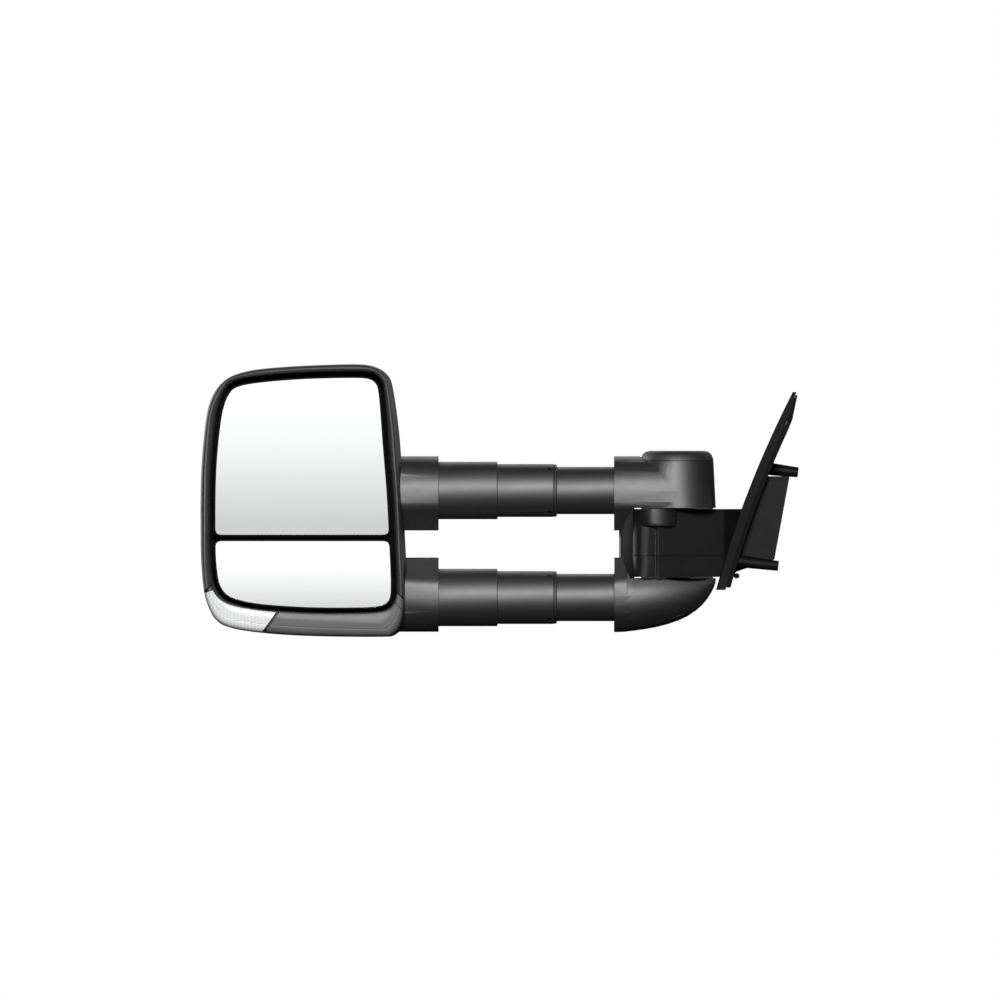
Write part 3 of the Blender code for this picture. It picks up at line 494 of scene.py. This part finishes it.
def cut(target, bm, name):
    """Cut a bmesh, in millimetres from the head frame, out of a piece at once."""
    bmesh.ops.recalc_face_normals(bm, faces=bm.faces)
    for vert in bm.verts:
        vert.co = (vert.co + HEAD) * MM
    mesh = bpy.data.meshes.new(name)
    bm.to_mesh(mesh)
    bm.free()
    cutter = bpy.data.objects.new(name, mesh)
    bpy.context.scene.collection.objects.link(cutter)
    change = target.modifiers.new(name, "BOOLEAN")
    change.object = cutter
    change.solver = "EXACT"
    graph = bpy.context.evaluated_depsgraph_get()
    made = bpy.data.meshes.new_from_object(target.evaluated_get(graph))
    target.modifiers.remove(change)
    target.data = made
    made.set_sharp_from_angle(angle=math.radians(30))
    bpy.data.objects.remove(cutter)
    bpy.data.meshes.remove(mesh)


def glass_outline(opening, level, above):
    """Outline of a tray: the opening less a gap, cut at a level, with rounded corners."""
    points = clip_level(inset(opening, TRAY_GAP), level, above)
    return evenly(spaced(round_sharp(points, TRAY_CORNER), 0.3), 240)


def make_glass(label, opening, level, above, bulge, looks):
    """Tray with a rounded rim and the mirror glass in it. Bulge above zero is the convex glass."""
    rim = glass_outline(opening, level, above)
    profile = [(0, CARRIER_BACK), (0, GLASS_FRONT + 1.0), (0.2, GLASS_FRONT + 0.35),
               (0.6, GLASS_FRONT), (1.2, GLASS_FRONT), (1.5, GLASS_FRONT + 0.25),
               (1.7, GLASS_FRONT + 0.8), (1.75, GLASS_FRONT + 2.8)]
    bm = bmesh.new()
    skin(bm, [[(p.x, y, p.y) for p in inset(rim, depth)] for depth, y in profile])
    piece(label + "_tray", bm, looks["tray"], label + "_mirror",
          [label + "_glass_carrier"])
    edge = inset(rim, TRAY_RIM)
    middle = sum(edge, Vector((0, 0))) / len(edge)
    face = GLASS_FRONT + 0.3 + SINK_PER_BULGE * bulge
    tilt = TILT_PER_BULGE * bulge
    reach = max((p - middle).length for p in edge)
    bevel = 0.997
    levels = [(1.0, 2.2), (1.0, 0.35), (bevel, 0.0)]
    if bulge:
        levels += [(bevel * (1 - step / BULGE_RINGS), 0.0) for step in range(1, BULGE_RINGS)]
    rings = []
    for share, back in levels:
        spots = [middle.lerp(p, share) for p in edge]
        rings.append([(p.x, face + back - tilt * (p.y - middle.y)
                       - bulge * (1 - ((p - middle).length / reach) ** 2), p.y) for p in spots])
    bm = bmesh.new()
    skin(bm, rings)
    piece(label + "_pane", bm, looks["mirror"], label + "_mirror",
          [label + "_glass"], angle=20)


def arm_outline(grow=0.0):
    """Plan of the bracket: rounded outboard end round the pivot, arm swept forward to the sail."""
    sweep = math.radians(ARM_SWEEP)
    along = Vector((math.cos(sweep), math.sin(sweep)))
    out = Vector((math.sin(sweep), -math.cos(sweep)))
    rear = Vector(ARM_REAR) + out * grow
    front = -out * (ARM_DEPTH + grow)
    points = [rear, rear + along * ARM_REAR_LENGTH, front + along * ARM_FRONT_LENGTH]
    points += [front + along * -18, Vector((-37, 4.5 + grow)), Vector((-42, 0.5))]
    for step in range(25):
        turn = math.radians(180 + 125 * step / 24)
        way = Vector((math.cos(turn), math.sin(turn)))
        points.append(Vector(BARREL_CENTRE) + way * (BARREL_RADIUS + grow))
    points.append(Vector((-21.5, -36.5 - grow)))
    return points


def turned(bm, profile, place=(0, 0, 0), along_x=False, steps=96):
    """Add a closed profile of (radius, height) points turned about Z, or about X."""
    rings = []
    for step in range(steps):
        turn = 2 * math.pi * step / steps
        ring = []
        for radius, height in profile:
            a, b = radius * math.cos(turn), radius * math.sin(turn)
            spot = Vector((height, a, b)) if along_x else Vector((a, b, height))
            ring.append(spot + Vector(place))
        rings.append(ring)
    skin(bm, rings, closed=True)


def rectangle(first, second):
    """Corners of a rectangle from its two spans."""
    return [(first[0], second[0]), (first[1], second[0]), (first[1], second[1]),
            (first[0], second[1])]


def sail_x(height):
    """X of the sail's outboard face at a height."""
    start, slope, curve = SAIL_CURVE
    rise = height - SAIL_FOOT
    return start + slope * rise + curve * rise * rise


def sail_span(height):
    """Rear and front edge of the sail at a height: a triangle with its front corner cut off."""
    rise = height - SAIL_FOOT
    rear = SAIL_REAR + SAIL_REAR_LEAN * rise / (SAIL_TIP - SAIL_FOOT)
    corner = min(1.0, rise / (SAIL_NOSE_Z - SAIL_FOOT))
    edge = SAIL_FRONT_LEAN * (height - SAIL_NOSE_Z) / (SAIL_TIP - SAIL_NOSE_Z)
    return rear, min(SAIL_FRONT - SAIL_CHAMFER + SAIL_CHAMFER * corner, SAIL_FRONT - edge)


def make_sail_gap_shades(looks):
    """Dark strip of painted shade in the gap between the sail's cover and its gasket, and a block
    of it in the joint of the arm's lower cover.
    """
    levels = [SAIL_FOOT + 3.0] + [SAIL_FOOT + 6 * step for step in range(1, 33)]
    outline = [Vector((sail_span(z)[0] + RIM_SHADE_EDGE, z)) for z in levels]
    outline += [Vector((sail_span(z)[1] - RIM_SHADE_EDGE, z)) for z in reversed(levels)]
    corners = spaced(outline, RIM_SHADE_EDGE)
    near, far = RIM_SHADE_X
    rings = []
    for point, within in zip(corners, inset(corners, RIM_SHADE_WIDTH)):
        ring = []
        for spot, depth in ((point, near), (point, far), (within, far), (within, near)):
            past = (spot.y - SAIL_THINS_FROM) / (SAIL_TIP - SAIL_THINS_FROM)
            ring.append((sail_x(spot.y) + depth * min(1.0, 1.0 - 0.6 * past), spot.x, spot.y))
        rings.append(ring)
    bm = bmesh.new()
    skin(bm, rings, closed=True)
    piece("sail_rim_gap_shade", bm, looks["rubber"], "base", origin=DOOR)
    bm = bmesh.new()
    skin(bm, [[(sail_x(z) + x, y, z) for y, x in rectangle(COVER_END_Y, COVER_END_X)]
              for z in COVER_END_Z])
    piece("cover_end_gap_shade", bm, looks["rubber"], "base", origin=DOOR)


def make_boss_fillets(looks):
    """Fillets in the wedges between the door boss and the posts above and below it."""
    lean = math.tan(math.radians(BOSS_TILT))
    top = [(BOSS_TOP * lean, BOSS_TOP), (TOP_FILLET * lean, TOP_FILLET),
           (sail_x(TOP_FILLET) + BOSS_ROOT, TOP_FILLET), (sail_x(BOSS_TOP) + BOSS_ROOT, BOSS_TOP)]
    foot = [(-BOSS_TOP * lean, -BOSS_TOP), (-FOOT_FILLET * lean, -FOOT_FILLET), (-30, -48.6),
            (-34, -49.7)]
    for name, outline in (("boss_top_fillet", top), ("boss_foot_fillet", foot)):
        bm = bmesh.new()
        skin(bm, [[(x, y, z) for x, z in outline] for y in BOSS_Y])
        piece(name, bm, looks["bracket"], "base", origin=DOOR)


def gap_shade_ring(name, look, body, size, axis_z=None):
    """Dark ring of painted shade filling the gap round the fold pivot, or round the tube whose
    axis is at axis_z.
    """
    bm = bmesh.new()
    turned(bm, rectangle(*size), (0, 0, axis_z or 0), along_x=axis_z is not None)
    piece(name, bm, look, body, origin=PIVOT)


def make_gap_shades(looks):
    """Thin dark pieces of painted shade in the gaps between parts, so that no light shows through
    them.
    """
    rubber = looks["rubber"]
    gap_shade_ring("cap_gap_shade", rubber, "hub", CAP_GAP_SHADE)
    gap_shade_ring("upper_pivot_gap_shade", rubber, "base", UPPER_PIVOT_GAP_SHADE)
    gap_shade_ring("lower_pivot_gap_shade", rubber, "base", LOWER_PIVOT_GAP_SHADE)
    bm = bmesh.new()
    skin(bm, [[(p.x, p.y, z) for p in arm_outline(-ARM_GAP_SHADE_INSET)] for z in ARM_GAP_SHADE_Z])
    piece("arm_gap_shade", bm, rubber, "base", origin=PIVOT)
    gap_shade_ring("upper_sleeve_gap_shade", rubber, "upper_sleeve", SLEEVE_GAP_SHADE, UPPER_AXIS_Z)
    gap_shade_ring("lower_sleeve_gap_shade", rubber, "lower_sleeve", SLEEVE_GAP_SHADE, LOWER_AXIS_Z)


def make_bulkhead(outer, looks):
    """Dark ledge inside the shell, behind the glass and clear of it when it tilts."""
    edge = inset(outer, BULKHEAD_INSET)
    middle = sum(edge, Vector((0, 0))) / len(edge)
    lip = [p.lerp(middle, BULKHEAD_SHARE) for p in edge]
    back, front = BULKHEAD_Y
    bm = bmesh.new()
    skin(bm, [[(p.x, y, p.y) for p in points]
              for points, y in ((edge, back), (lip, back), (lip, front), (edge, front))],
         closed=True)
    piece("head_bulkhead", bm, looks["tray"], "head")


def make_head(looks):
    """Every fine surface of the head, from its two outlines."""
    outer = evenly(smooth_closed([Vector(p) for p in HEAD_OUTLINE]), STATIONS * FINE)
    opening = smooth_closed([Vector(p) for p in OPENING_OUTLINE])
    inner = [ray_hit(Vector(OPENING_CENTRE), point, opening) for point in outer]
    make_surround(outer, inner, looks)
    make_shell(outer, looks)
    make_bulkhead(outer, looks)
    window = evenly(inner, 176)
    make_glass("upper", window, UPPER_CUT, True, 0.0, looks)
    make_glass("lower", window, LOWER_CUT, False, LOWER_BULGE, looks)


# ---------------------------------------------------------------- materials

class Look:
    """A material with a small kit for wiring its nodes."""

    def __init__(self, name):
        self.made = bpy.data.materials.new(name)
        self.made.use_nodes = True
        self.tree = self.made.node_tree
        self.shader = self.tree.nodes["Principled BSDF"]
        self.place = self.node("TexCoord").outputs["Object"]

    def node(self, kind, **settings):
        """New shader node. Settings are its own attributes or else its inputs."""
        made = self.tree.nodes.new("ShaderNode" + kind)
        for key, value in settings.items():
            if hasattr(made, key):
                setattr(made, key, value)
            else:
                made.inputs[key.replace("_", " ")].default_value = value
        return made

    def join(self, start, node, socket):
        """Link an output to a node's socket."""
        self.tree.links.new(start, node.inputs[socket])

    def set(self, **values):
        """Set plain inputs of the surface shader."""
        for key, value in values.items():
            self.shader.inputs[key.replace("_", " ")].default_value = value

    def noise(self, scale, detail=3.0, stretch=None):
        """Noise over the object's own metres. Stretch squeezes it along an axis."""
        made = self.node("TexNoise", Scale=scale, Detail=detail, Roughness=0.55)
        spot = self.place
        if stretch:
            mapping = self.node("Mapping")
            mapping.inputs["Scale"].default_value = stretch
            self.join(self.place, mapping, "Vector")
            spot = mapping.outputs["Vector"]
        self.join(spot, made, "Vector")
        return made.outputs["Fac"]

    def span(self, value, low, high, start=0.3, end=0.7):
        """Map a factor between start and end to low and high."""
        made = self.node("MapRange", clamp=True)
        for socket, number in (("From Min", start), ("From Max", end), ("To Min", low),
                               ("To Max", high)):
            made.inputs[socket].default_value = number
        self.join(value, made, "Value")
        return made.outputs["Result"]

    def blend(self, factor, first, second):
        """Mix two colours by a factor. Each is a colour or the output of a node."""
        made = self.node("Mix", data_type="RGBA")
        self.join(factor, made, 0)
        for value, number in zip((first, second), MIX_COLOURS):
            if isinstance(value, tuple):
                made.inputs[number].default_value = (*value, 1.0)
            else:
                self.join(value, made, number)
        return made.outputs[MIX_COLOUR_OUT]

    def rounded(self, radius):
        """Normal with edges rounded over a radius in millimetres, and a mask of those edges."""
        bevel = self.node("Bevel", samples=4)
        bevel.inputs["Radius"].default_value = radius * MM
        plain = self.node("NewGeometry").outputs["Normal"]
        match = self.node("VectorMath", operation="DOT_PRODUCT")
        self.join(bevel.outputs["Normal"], match, 0)
        self.join(plain, match, 1)
        return bevel.outputs["Normal"], self.span(match.outputs["Value"], 1.0, 0.0, 0.80, 0.985)

    def bump(self, height, depth, normal=None, strength=1.0):
        """Bump of a depth in millimetres."""
        made = self.node("Bump", Strength=strength, Distance=depth * MM)
        self.join(height, made, "Height")
        if normal is not None:
            self.join(normal, made, "Normal")
        return made.outputs["Normal"]


def grained(name, colour, roughness, specular, grain=(700, 0.05), wear=0.5, edge=0.8, shift=0.25,
            steps=()):
    """Moulded or coated surface: fine grain, faint mottling and lighter worn edges.

    Grain is its scale and its depth in millimetres. Steps are places along X in millimetres, with
    the sheen beyond each of them: painted light and shade, one coat made to look lit in some parts
    and shaded in others.
    """
    look = Look(name)
    normal, worn = look.rounded(edge)
    scale, depth = grain
    fine = look.noise(scale, 4.0)
    pits = look.node("TexVoronoi", Scale=scale * 0.8)
    look.join(look.place, pits, "Vector")
    normal = look.bump(fine, depth, normal)
    normal = look.bump(pits.outputs["Distance"], depth * 0.5, normal)
    broad = look.noise(26.0, 5.0)
    lighter = tuple(min(1.0, part * (1 + shift)) for part in colour)
    darker = tuple(part * (1 - shift) for part in colour)
    mottled = look.blend(look.span(broad, 0.0, 1.0), darker, lighter)
    bare = tuple(min(1.0, part * (1 + wear) + 0.01 * wear) for part in colour)
    look.join(look.blend(worn, mottled, bare), look.shader, "Base Color")
    look.join(look.span(look.noise(60.0, 4.0), roughness - 0.015, roughness + 0.015), look.shader,
              "Roughness")
    look.join(normal, look.shader, "Normal")
    look.set(Specular_IOR_Level=specular)
    along = look.node("SeparateXYZ")
    look.join(look.place, along, "Vector")
    before, after = MIX_NUMBERS
    level = None
    # Painted light and shade: the sheen steps along X, so one coat looks lit in some places and
    # shaded in others.
    for place, beyond in steps:
        change = look.node("Mix", data_type="FLOAT")
        passed = look.span(along.outputs["X"], 0.0, 1.0, place * MM, (place + STEP_RUN) * MM)
        look.join(passed, change, 0)
        change.inputs[before].default_value = specular
        change.inputs[after].default_value = beyond
        if level:
            look.join(level, change, before)
        level = change.outputs[0]
        look.join(level, look.shader, "Specular IOR Level")
    return look.made


def brushed(name, colour, roughness, stretch):
    """Metal with fine lines along one axis."""
    look = Look(name)
    lines = look.noise(300.0, 3.0, stretch)
    normal, _ = look.rounded(0.4)
    look.join(look.bump(lines, 0.02, normal), look.shader, "Normal")
    lighter = tuple(min(1.0, part * 1.15) for part in colour)
    darker = tuple(part * 0.82 for part in colour)
    look.join(look.blend(look.span(lines, 0.0, 1.0), darker, lighter), look.shader, "Base Color")
    look.join(look.span(look.noise(40.0), roughness - 0.04, roughness + 0.06), look.shader,
              "Roughness")
    look.set(Metallic=1.0)
    return look.made


def make_looks():
    """Every material, by the short names that the pieces and CAD_LOOKS use."""
    return {
        "hub": grained("powder_coat_satin", (0.002, 0.002, 0.0022), 0.56, 1.0, (520, 0.05)),
        # Head frame: the hub's coat with painted shade, its sheen nearly gone outboard of X -386
        # mm, where it sits in the head, and full beyond.
        "block": grained("powder_coat_block_painted_shade", (0.002, 0.002, 0.0022), 0.56, 0.03, (520, 0.05),
                         steps=((-386, 1.0),)),
        # Bracket: painted light and shade, its sheen stepped along X: 0.22 outboard of X -133 mm,
        # 0.65 on to X -60 mm and 0.09 beyond, in place of one even coat.
        "bracket": grained("powder_coat_painted_sheen_and_shade", (0.003, 0.003, 0.0032), 0.56, 0.22, (420, 0.06),
                           steps=((-133, 0.65), (-60, 0.09))),
        "sail": grained("sail_plastic", (0.004, 0.004, 0.0042), 0.6, 0.05, (600, 0.05)),
        "bezel": grained("bezel_plastic", (0.004, 0.004, 0.0044), 0.62, 0.95, (900, 0.02)),
        "shell": grained("shell_plastic", (0.004, 0.004, 0.0044), 0.5, 0.7, (900, 0.025)),
        "cap": grained("cap_plastic", (0.0045, 0.0045, 0.005), 0.6, 0.8, (700, 0.04)),
        "tray": grained("tray_plastic", (0.003, 0.003, 0.0032), 0.55, 0.02, (800, 0.02)),
        "inner": grained("inner_plastic", (0.006, 0.006, 0.0065), 0.5, 0.4, (500, 0.04)),
        # Rubber of the gasket and the grommet, and also the look of the dark pieces of painted
        # shade in the gaps between parts.
        "rubber": grained("gasket_rubber_also_gap_shade", (0.004, 0.004, 0.004), 0.75, 0.05, (500, 0.08), 0.2),
        "nylon": grained("natural_nylon", (0.62, 0.61, 0.56), 0.5, 0.4, (300, 0.03), 0.05),
        "trim": grained("grey_trim_paint", (0.078, 0.078, 0.080), 0.5, 0.35, (1100, 0.012), 0.2,
                        0.4, 0.05),
        "board": grained("solder_mask", (0.02, 0.12, 0.05), 0.4, 0.5, (300, 0.03), 0.1),
        "steel": brushed("zinc_steel", (0.52, 0.52, 0.50), 0.34, (1, 1, 6)),
        "dark_steel": brushed("blackened_steel", (0.02, 0.02, 0.02), 0.5, (1, 1, 6)),
        "chrome": brushed("reflector_chrome", (0.85, 0.85, 0.86), 0.12, (1, 1, 1)),
        "tube": tube_look(),
        "lens": lens_look(),
        "mirror": mirror_look(),
    }


def tube_look():
    """Black anodised tube: faint drawing lines along X and a satin sheen."""
    look = Look("black_anodised_tube")
    lines = look.noise(420.0, 3.0, (0.04, 1, 1))
    normal, worn = look.rounded(0.6)
    look.join(look.bump(lines, 0.012, normal), look.shader, "Normal")
    coat = look.blend(look.span(lines, 0.0, 1.0), (0.0018, 0.0018, 0.002), (0.003, 0.003, 0.0032))
    look.join(look.blend(worn, coat, (0.008, 0.008, 0.0083)), look.shader, "Base Color")
    look.join(look.span(look.noise(50.0, 4.0), 0.555, 0.575), look.shader, "Roughness")
    look.set(Specular_IOR_Level=1.0)
    return look.made


def lens_look():
    """Milky clear lens with vertical flutes moulded on its inside."""
    look = Look("clear_lens")
    flutes = look.node("TexWave", Scale=90.0, Distortion=0.0)
    look.join(look.place, flutes, "Vector")
    normal, _ = look.rounded(0.5)
    normal = look.bump(flutes.outputs["Fac"], 0.06, normal, 0.5)
    normal = look.bump(look.noise(900.0), 0.005, normal)
    look.join(normal, look.shader, "Normal")
    tint = look.blend(look.span(flutes.outputs["Fac"], 0.0, 1.0, 0.1, 0.9),
                      (0.50, 0.505, 0.51), (0.56, 0.565, 0.57))
    look.join(tint, look.shader, "Base Color")
    look.join(look.span(look.noise(40.0), 0.08, 0.14), look.shader, "Roughness")
    look.set(Coat_Weight=0.4)
    return look.made


def mirror_look():
    """Silvered glass: a sharp mirror with a faint cloud in its tint."""
    look = Look("mirror_silvering")
    haze = look.noise(9.0, 4.0)
    look.join(look.blend(look.span(haze, 0.0, 1.0), (0.955, 0.96, 0.965), (0.965, 0.97, 0.972)),
              look.shader, "Base Color")
    look.set(Metallic=1.0, Roughness=0.0)
    return look.made


CAD_LOOKS = {
    "hub": ("fold_hub",),
    "block": ("head_frame",),
    "bracket": ("base_bracket", "arm_lower_cover"),
    "sail": ("sail_cover", "locating_peg"),
    "cap": ("hub_top_cap", "pivot_plug", "upper_end_ring", "lower_end_ring"),
    "inner": ("actuator_housing", "lower_pivot_base"),
    "rubber": ("sail_gasket", "cable_grommet"),
    "nylon": ("upper_thrust_washer", "lower_thrust_washer", "tilt_plunger", "pan_plunger",
              "upper_gimbal_ring", "lower_gimbal_ring"),
    "board": ("indicator_board",),
    "steel": ("pivot_tube", "pivot_spring", "spring_washer", "pivot_nut"),
    "dark_steel": ("upper_top_lock_screw", "upper_bottom_lock_screw", "lower_top_lock_screw",
                   "lower_bottom_lock_screw"),
    "chrome": ("indicator_reflector",),
    "tube": ("upper_inner_tube", "lower_inner_tube", "upper_middle_sleeve",
             "lower_middle_sleeve", "upper_outer_sleeve", "lower_outer_sleeve"),
}


def dress_cad(looks):
    """Give each CAD node its look, joined faces and smooth shading between its hard edges."""
    for key, names in CAD_LOOKS.items():
        for name in names:
            obj = NODES[name]
            obj.data.materials.clear()
            obj.data.materials.append(looks[key])
            if "custom_normal" in obj.data.attributes:
                obj.data.attributes.remove(obj.data.attributes["custom_normal"])
            obj.data.shade_smooth()
            weld = obj.modifiers.new("Join", "WELD")
            weld.merge_threshold = 0.01 * MM
            split = obj.modifiers.new("Hard edges", "EDGE_SPLIT")
            split.split_angle = math.radians(32)
            obj.modifiers.new("Flats kept flat", "WEIGHTED_NORMAL").weight = 100


# ---------------------------------------------------------------- studio

def emitter(name, centre, size, power):
    """Rectangular light turned towards the middle of the studio."""
    light = bpy.data.lights.new(name, "AREA")
    light.shape = "RECTANGLE"
    light.size, light.size_y = size
    light.energy = power
    obj = bpy.data.objects.new(name, light)
    obj.location = centre
    aim = Vector(STUDIO_MIDDLE) - Vector(centre)
    obj.rotation_euler = aim.to_track_quat("-Z", "Y").to_euler()
    bpy.context.scene.collection.objects.link(obj)


def plane(name, corners, look):
    """Flat stage prop with four corners."""
    bm = bmesh.new()
    bm.faces.new([bm.verts.new(corner) for corner in corners])
    mesh = bpy.data.meshes.new(name)
    bm.to_mesh(mesh)
    bm.free()
    mesh.materials.append(look)
    obj = bpy.data.objects.new(name, mesh)
    bpy.context.scene.collection.objects.link(obj)
    return obj


def floor_look():
    """Pale floor that glows, so that it needs no light of its own."""
    look = Look("pale_floor")
    tone = look.blend(look.span(look.noise(3.0), 0.0, 1.0), (0.80, 0.80, 0.80),
                      (0.84, 0.84, 0.84))
    look.join(tone, look.shader, "Base Color")
    look.join(tone, look.shader, "Emission Color")
    look.set(Roughness=0.8, Emission_Strength=0.8)
    return look.made


def card_look():
    """Glowing card behind the camera, brighter and darker by its height as CARD_STEPS says."""
    look = Look("studio_card")
    height = look.node("SeparateXYZ")
    look.join(look.node("NewGeometry").outputs["Position"], height, "Vector")
    glow = look.node("Emission", Strength=CARD_PEAK)
    steps = look.node("ValToRGB")
    low, high = CARD_STEPS[0][0], CARD_STEPS[-1][0]
    stops = [((level - low) / (high - low), light / CARD_PEAK) for level, light in CARD_STEPS]
    for spot, _ in stops[1:-1]:
        steps.color_ramp.elements.new(spot)
    for element, (spot, light) in zip(steps.color_ramp.elements, stops):
        element.position = spot
        element.color = (light, light, light, 1.0)
    look.join(look.span(height.outputs["Z"], 0.0, 1.0, low, high), steps, "Fac")
    look.join(steps.outputs["Color"], glow, "Color")
    out = look.tree.nodes["Material Output"]
    look.tree.links.new(glow.outputs["Emission"], out.inputs["Surface"])
    look.tree.nodes.remove(look.shader)
    return look.made


def make_world():
    """White to the camera and pale in the glass, dim elsewhere, so that black parts stay black."""
    world = bpy.data.worlds.new("studio")
    world.use_nodes = True
    tree = world.node_tree
    back = tree.nodes["Background"]
    back.inputs["Strength"].default_value = WORLD_DIM
    seen = tree.nodes.new("ShaderNodeBackground")
    for shader in (back, seen):
        shader.inputs["Color"].default_value = (1, 1, 1, 1)
    rays = tree.nodes.new("ShaderNodeLightPath")
    choice = tree.nodes.new("ShaderNodeMixShader")
    glass = tree.nodes.new("ShaderNodeMath")
    glass.operation = "MULTIPLY_ADD"
    glass.use_clamp = True
    glass.inputs[1].default_value = GLASS_SKY
    tree.links.new(rays.outputs["Is Singular Ray"], glass.inputs[0])
    tree.links.new(rays.outputs["Is Camera Ray"], glass.inputs[2])
    tree.links.new(glass.outputs["Value"], choice.inputs["Fac"])
    tree.links.new(back.outputs["Background"], choice.inputs[1])
    tree.links.new(seen.outputs["Background"], choice.inputs[2])
    tree.links.new(choice.outputs["Shader"], tree.nodes["World Output"].inputs["Surface"])
    bpy.context.scene.world = world


def make_studio():
    """World, lights, card, floor and a level camera that faces the glass."""
    make_world()
    for name, (centre, size, power) in LIGHTS.items():
        emitter(name, centre, size, power)
    plane("card", [(x, CARD_Y, z) for x, z in rectangle(CARD_X, CARD_Z)], card_look())
    floor = plane("floor", [(x, y, FLOOR_Z) for x, y in rectangle(FLOOR_SPAN, FLOOR_SPAN)],
                  floor_look())
    floor.visible_diffuse = False
    floor.visible_glossy = False
    camera = bpy.data.cameras.new("camera")
    camera.type = "ORTHO"
    camera.ortho_scale = VIEW_WIDTH
    obj = bpy.data.objects.new("camera", camera)
    obj.location = CAMERA_PLACE
    obj.rotation_euler = (math.radians(90), 0, 0)
    bpy.context.scene.collection.objects.link(obj)
    bpy.context.scene.camera = obj
    bpy.context.scene.view_settings.view_transform = "Standard"


LOOKS = make_looks()
dress_cad(LOOKS)
make_head(LOOKS)
make_gap_shades(LOOKS)
make_sail_gap_shades(LOOKS)
make_boss_fillets(LOOKS)
make_studio()
